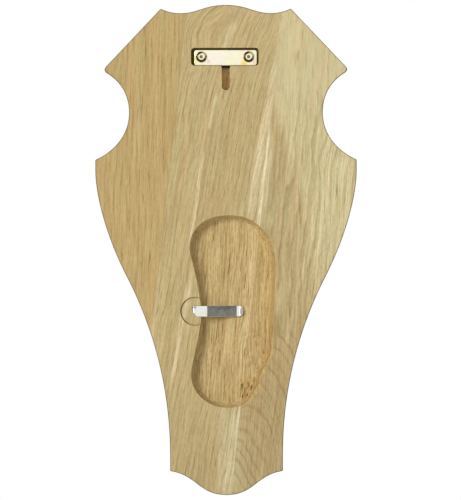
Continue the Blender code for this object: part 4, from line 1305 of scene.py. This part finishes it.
# Tints of the plate's zinc: place, reach, strength and colour
PLATE_SPOTS = (
    (19.2, 3.4, 4.6, 1.0, (0.78, 0.82, 0.28, 1.0)),
    (14.6, 0.6, 3.6, 0.8, (0.80, 0.86, 0.44, 1.0)),
    (10.6, 2.2, 1.8, 0.8, (0.86, 0.62, 0.60, 1.0)),
    (5.5, 5.0, 5.5, 0.35, (1.00, 0.84, 0.84, 1.0)),
    (-3.2, 1.4, 3.6, 0.7, (0.90, 0.92, 0.56, 1.0)),
    (-9.2, 6.4, 2.6, 0.6, (0.97, 0.90, 0.52, 1.0)),
    (-11.2, 1.6, 2.8, 1.0, (0.96, 0.74, 0.22, 1.0)),
    (-17.6, 1.6, 2.6, 0.9, (0.98, 0.70, 0.44, 1.0)),
    (-14.0, 9.2, 1.8, 0.9, (0.98, 0.66, 0.60, 1.0)),
)


class PLAQUE_OT_plate(bpy.types.Operator):
    """Make the hanger plate that bridges the nail's slot"""

    bl_idname = "plaque.plate"
    bl_label = "Hanger plate"

    def execute(self, context):
        settings = context.scene.plaque_hanger
        edge = settings.edge_round
        profile = [(edge * (1 - math.sin(a)), edge * (1 - math.cos(a))) for a in quarter(4)]
        thickness = PLATE_HIGH[1] - PLATE_LOW[1]
        profile += [(inset, thickness - depth) for inset, depth in reversed(profile)]
        rings = []
        for inset, depth in profile:
            corners = rounded_rectangle(
                PLATE_LOW[0] + inset, PLATE_HIGH[0] - inset, PLATE_LOW[2] + inset, PLATE_HIGH[2] - inset,
                PLATE_CORNER_RADIUS - inset,
            )
            rings.append([(x, PLATE_HIGH[1] - depth, z) for x, z in corners])
        plate = loft("zinc_hanger_plate", rings)
        tints = ((0.93, 0.90, 0.62, 1.0), (0.97, 0.80, 0.72, 1.0), (0.86, 0.92, 0.74, 1.0))
        colour = settings.plate_colour[:]
        zinc = metal_material("yellow_zinc_plate", colour, tints, 0.24, 0.22, 3.0, PLATE_SPOTS)
        plate.data.materials.append(zinc)
        ends = (PLATE_HIGH[1] + CUT_OVERSHOOT, PLATE_LOW[1] - CUT_OVERSHOOT)
        cuts = []
        for seat in screw_seats():
            rings = [[(x, y, z) for x, z in hole_outline(seat)(0.0)] for y in ends]
            cuts.append(cut(plate, loft("plate_hole_cut", rings)))
        plain_mesh(plate, cuts)
        return settle(plate, "plate_zinc", "hanger_plate")


def screw_reflection_rings():
    """Painted reflections on the screws' zinc: a dark reflection on the shoulder that opens at its lit upper
    far side, a painted highlight on the flat, and painted shade in the pit at the cross recess.
    """
    rings = []
    for seat in screw_seats():
        x, z = seat[0] * 1000, seat[2] * 1000
        rings.append((x, z, 1.80, 4.0, 0.96, 0.10, (0.050, 0.036, 0.010, 1.0)))
        rings.append((x, z, 1.10, 1.80, 0.80, 0.80, (0.98, 0.93, 0.66, 1.0)))
        rings.append((x, z, -1.0, 1.00, 0.90, 0.75, (0.11, 0.085, 0.035, 1.0)))
    return rings


class PLAQUE_OT_screws(bpy.types.Operator):
    """Make the two pan head screws that hold the hanger plate"""

    bl_idname = "plaque.screws"
    bl_label = "Hanger screws"

    def execute(self, context):
        settings = context.scene.plaque_hanger
        low, high = SCREW_BOXES[0]
        mesh = seat_mesh("hanger_screws", screw_seats())
        turn = mesh.attributes.new("turn", "FLOAT", "POINT")
        turn.data.foreach_set("value", (settings.left_turn, settings.right_turn))
        screws = add_object("zinc_screws", mesh)
        tints = ((0.95, 0.84, 0.40, 1.0), (0.96, 0.74, 0.52, 1.0), (0.84, 0.86, 0.50, 1.0))
        colour = settings.screw_colour[:]
        zinc = metal_material("yellow_zinc_screws", colour, tints, 0.24, 0.15, 17.0, rings=screw_reflection_rings())
        values = {"Head diameter": high[0] - low[0], "Length": high[1] - low[1] - HEAD_HEIGHT, "Metal": zinc}
        grown(screws, screw_tree(), values)
        return settle(screws, "screw_zinc", *SCREWS)


def clip_corners():
    """The corners of the clip's middle line as (x, y) points: tongue, foot, slope, flat and curled-up tip."""
    foot_y = -CLIP_SUNK - CLIP_THICKNESS / 2
    low_y = CLIP_FLOOR_CLEARANCE + CLIP_THICKNESS / 2 - POCKET_DEPTH
    tongue_x = CLIP_FOOT_END - CLIP_THICKNESS / 2
    slope_x = CLIP_FOOT_END - CLIP_FOOT_LENGTH
    flat_x = CLIP_TIP_END + CLIP_TIP_RUN
    return [
        (tongue_x, CLIP_TONGUE_Y), (tongue_x, foot_y), (slope_x, foot_y), (flat_x + CLIP_TIP_FLAT, low_y),
        (flat_x, low_y), (CLIP_TIP_END, low_y + CLIP_TIP_RISE),
    ]


# Darker spots on the clip: a violet-grey patch at the upper corner of its foot, painted dark reflections along
# the top edge of its slope and a painted bluish reflection on it, and a painted grey reflection that dims its
# tip
CLIP_SPOTS_AND_REFLECTIONS = (
    (CLIP_FOOT_END * 1000 - 1.6, CLIP_Z * 1000 + 2.4, 1.5, 1.0, (0.40, 0.36, 0.46, 1.0)),
    (2.0, CLIP_Z * 1000 + 3.2, 4.5, 0.8, (0.50, 0.52, 0.48, 1.0)),
    (9.0, CLIP_Z * 1000 + 3.4, 3.5, 0.7, (0.52, 0.50, 0.50, 1.0)),
    (6.0, CLIP_Z * 1000, 3.0, 0.6, (0.60, 0.68, 0.72, 1.0)),
)
CLIP_TIP_DARK_REFLECTION = (CLIP_TIP_END * 1000 - 2.0, CLIP_Z * 1000, -1.0, 4.1, 0.9, 0.9, (0.42, 0.39, 0.33, 1.0))


class PLAQUE_OT_clip(bpy.types.Operator):
    """Make the spring clip that holds a jawbone in the pocket"""

    bl_idname = "plaque.clip"
    bl_label = "Jaw clip"

    def execute(self, context):
        settings = context.scene.plaque_clip
        path = rounded_path(clip_corners(), CLIP_BEND_RADIUS, 8)
        points = [(x, y, CLIP_Z) for x, y in path]
        mesh = seat_mesh("jaw_clip_path", points, zip(range(len(points) - 1), range(1, len(points))))
        clip = add_object("steel_jaw_clip", mesh)
        tints = ((0.90, 0.90, 0.80, 1.0), (0.84, 0.84, 0.84, 1.0), (0.80, 0.83, 0.80, 1.0))
        colour = settings.steel[:]
        steel = metal_material(
            "rolled_spring_steel", colour, tints, 0.22, 0.14, 41.0, CLIP_SPOTS_AND_REFLECTIONS, rings=(CLIP_TIP_DARK_REFLECTION,)
        )
        values = {
            "Edge radius": settings.edge_radius, "Middle": CLIP_Z, "Foot end": CLIP_FOOT_END,
            "Tip end": CLIP_TIP_END, "Metal": steel,
        }
        grown(clip, strip_tree(), values)
        return settle(clip, "spring_steel", "jaw_clip")


def area_light(name, place, target, size, power, colour):
    """A soft square light at a place, facing a target."""
    light = bpy.data.lights.new(name, "AREA")
    light.size = size
    light.energy = power
    light.color = colour
    obj = add_object(name, light)
    obj.location = place
    obj.rotation_euler = (Vector(target) - Vector(place)).to_track_quat("-Z", "Y").to_euler()


# Bright panels of the room, and those that the metal mirrors: the way to each, the cosines of the angles from
# it at which it starts and is full, and how bright it is
ROOM_PANELS = (
    ((0.0, 1.0, 0.0), 0.84, 0.97, 0.80),
    ((0.0, -1.0, 0.15), -0.1, 0.5, 0.40),
    ((0.8, 0.5, 0.25), 0.4, 0.95, 0.30),
)
MIRRORED_BASE = 0.03
MIRRORED_PANELS = (
    ((0.0, 1.0, 0.0), 0.88, 0.97, 0.96),
    ((0.67, 0.74, 0.0), 0.86, 0.97, 0.48),
    ((-0.62, 0.25, 0.74), 0.78, 0.95, 1.20),
    ((0.0, -1.0, 0.15), -0.1, 0.5, 0.60),
)


def room_light(surround):
    """A soft room, darker in the metal's reflections than in its light, and white to the camera."""
    world = bpy.data.worlds.new("studio")
    world.use_nodes = True
    w = Wiring(world.node_tree)
    background = world.node_tree.nodes["Background"]
    way = w.node("ShaderNodeTexCoord").outputs["Generated"]

    def panels(base, places):
        """A base level with soft bright panels on it."""
        for direction_to, low, high, strength in places:
            facing = w.vectors("DOT_PRODUCT", way, Vector(direction_to).normalized(), output="Value")
            base = w.total(base, w.step(facing, low, high, 0.0, strength))
        return base

    level = panels(surround, ROOM_PANELS)
    mirrored = panels(MIRRORED_BASE, MIRRORED_PANELS)
    path = w.node("ShaderNodeLightPath").outputs
    level = w.mix_value(path["Is Glossy Ray"], level, mirrored)
    w.feed(background.inputs["Strength"], w.mix_value(path["Is Camera Ray"], level, 1.0))
    background.inputs["Color"].default_value = (1.0, 1.0, 1.0, 1.0)
    bpy.context.scene.world = world


def floor_material(colour):
    """A pale, faintly mottled floor."""
    material, w, shader, place = new_material("pale_floor", 1.0)
    mottle = w.noise(place, detail=4.0, scale=6.0)
    mottled = w.mix(mottle, colour, tuple(0.96 * c for c in colour[:3]) + (1.0,))
    surface(w, shader, mottled, w.line(mottle, 0.2, 0.6), w.noise(place, detail=3.0, scale=180.0), 0.0002)
    return material


class PLAQUE_OT_stage(bpy.types.Operator):
    """Set the floor, the soft lights and the camera"""

    bl_idname = "plaque.stage"
    bl_label = "Floor, lights and camera"

    def execute(self, context):
        scene = context.scene
        settings = scene.plaque_stage
        z = FOOT_Z - FLOOR_DROP
        x, back, front = FLOOR_REACH
        mesh = bpy.data.meshes.new("pale_floor")
        mesh.from_pydata([(-x, front, z), (x, front, z), (x, back, z), (-x, back, z)], [], [(0, 1, 2, 3)])
        mesh.materials.append(floor_material(settings.floor_colour[:]))
        add_object("pale_floor", mesh)
        warm, white, middle = (1.0, 0.99, 0.97), (1.0, 1.0, 1.0), (0.0, 0.0, -0.11)
        area_light("main_light", (0.71, 1.27, 0.26), CAMERA_TARGET, 0.42, settings.key_power, warm)
        area_light("front_light", (-0.7, -1.3, 0.6), middle, 0.9, settings.front_power, white)
        room_light(settings.surround)
        scene.view_settings.view_transform = "Standard"
        camera = bpy.data.cameras.new("photo_camera")
        camera.lens = CAMERA_LENS
        camera.sensor_width = CAMERA_LENS * PICTURE_HEIGHT / CAMERA_DISTANCE
        camera.clip_start = 0.05
        obj = add_object("photo_camera", camera)
        obj.location = (CAMERA_TARGET[0], CAMERA_DISTANCE, CAMERA_TARGET[2])
        obj.rotation_euler = Euler((math.pi / 2, CAMERA_ROLL, math.pi))
        scene.camera = obj
        return {"FINISHED"}


class PLAQUE_PT_panel(bpy.types.Panel):
    """Lists the plaque's pieces"""

    bl_idname = "PLAQUE_PT_panel"
    bl_label = "Antler mounting plaque"
    bl_space_type = "VIEW_3D"
    bl_region_type = "UI"
    bl_category = "Plaque"

    def draw(self, context):
        layout = self.layout
        for settings in SETTINGS:
            group = getattr(context.scene, settings)
            box = layout.box()
            for name in group.__annotations__:
                box.prop(group, name)
        for operator in OPERATORS:
            layout.operator(operator.bl_idname)


OPERATORS = (PLAQUE_OT_stage, PLAQUE_OT_board, PLAQUE_OT_plate, PLAQUE_OT_screws, PLAQUE_OT_clip)
SETTINGS = {
    "plaque_board": PlaqueBoardSettings,
    "plaque_hanger": PlaqueHangerSettings,
    "plaque_clip": PlaqueClipSettings,
    "plaque_stage": PlaqueStageSettings,
}


def register():
    for kind in (*SETTINGS.values(), *OPERATORS, PLAQUE_PT_panel):
        bpy.utils.register_class(kind)
    for name, kind in SETTINGS.items():
        setattr(bpy.types.Scene, name, bpy.props.PointerProperty(type=kind))


def unregister():
    for name in SETTINGS:
        delattr(bpy.types.Scene, name)
    for kind in reversed((*SETTINGS.values(), *OPERATORS, PLAQUE_PT_panel)):
        bpy.utils.unregister_class(kind)


def main():
    register()
    bpy.ops.plaque.stage()
    bpy.ops.plaque.board()
    bpy.ops.plaque.plate()
    bpy.ops.plaque.screws()
    bpy.ops.plaque.clip()


if __name__ == "__main__":
    main()
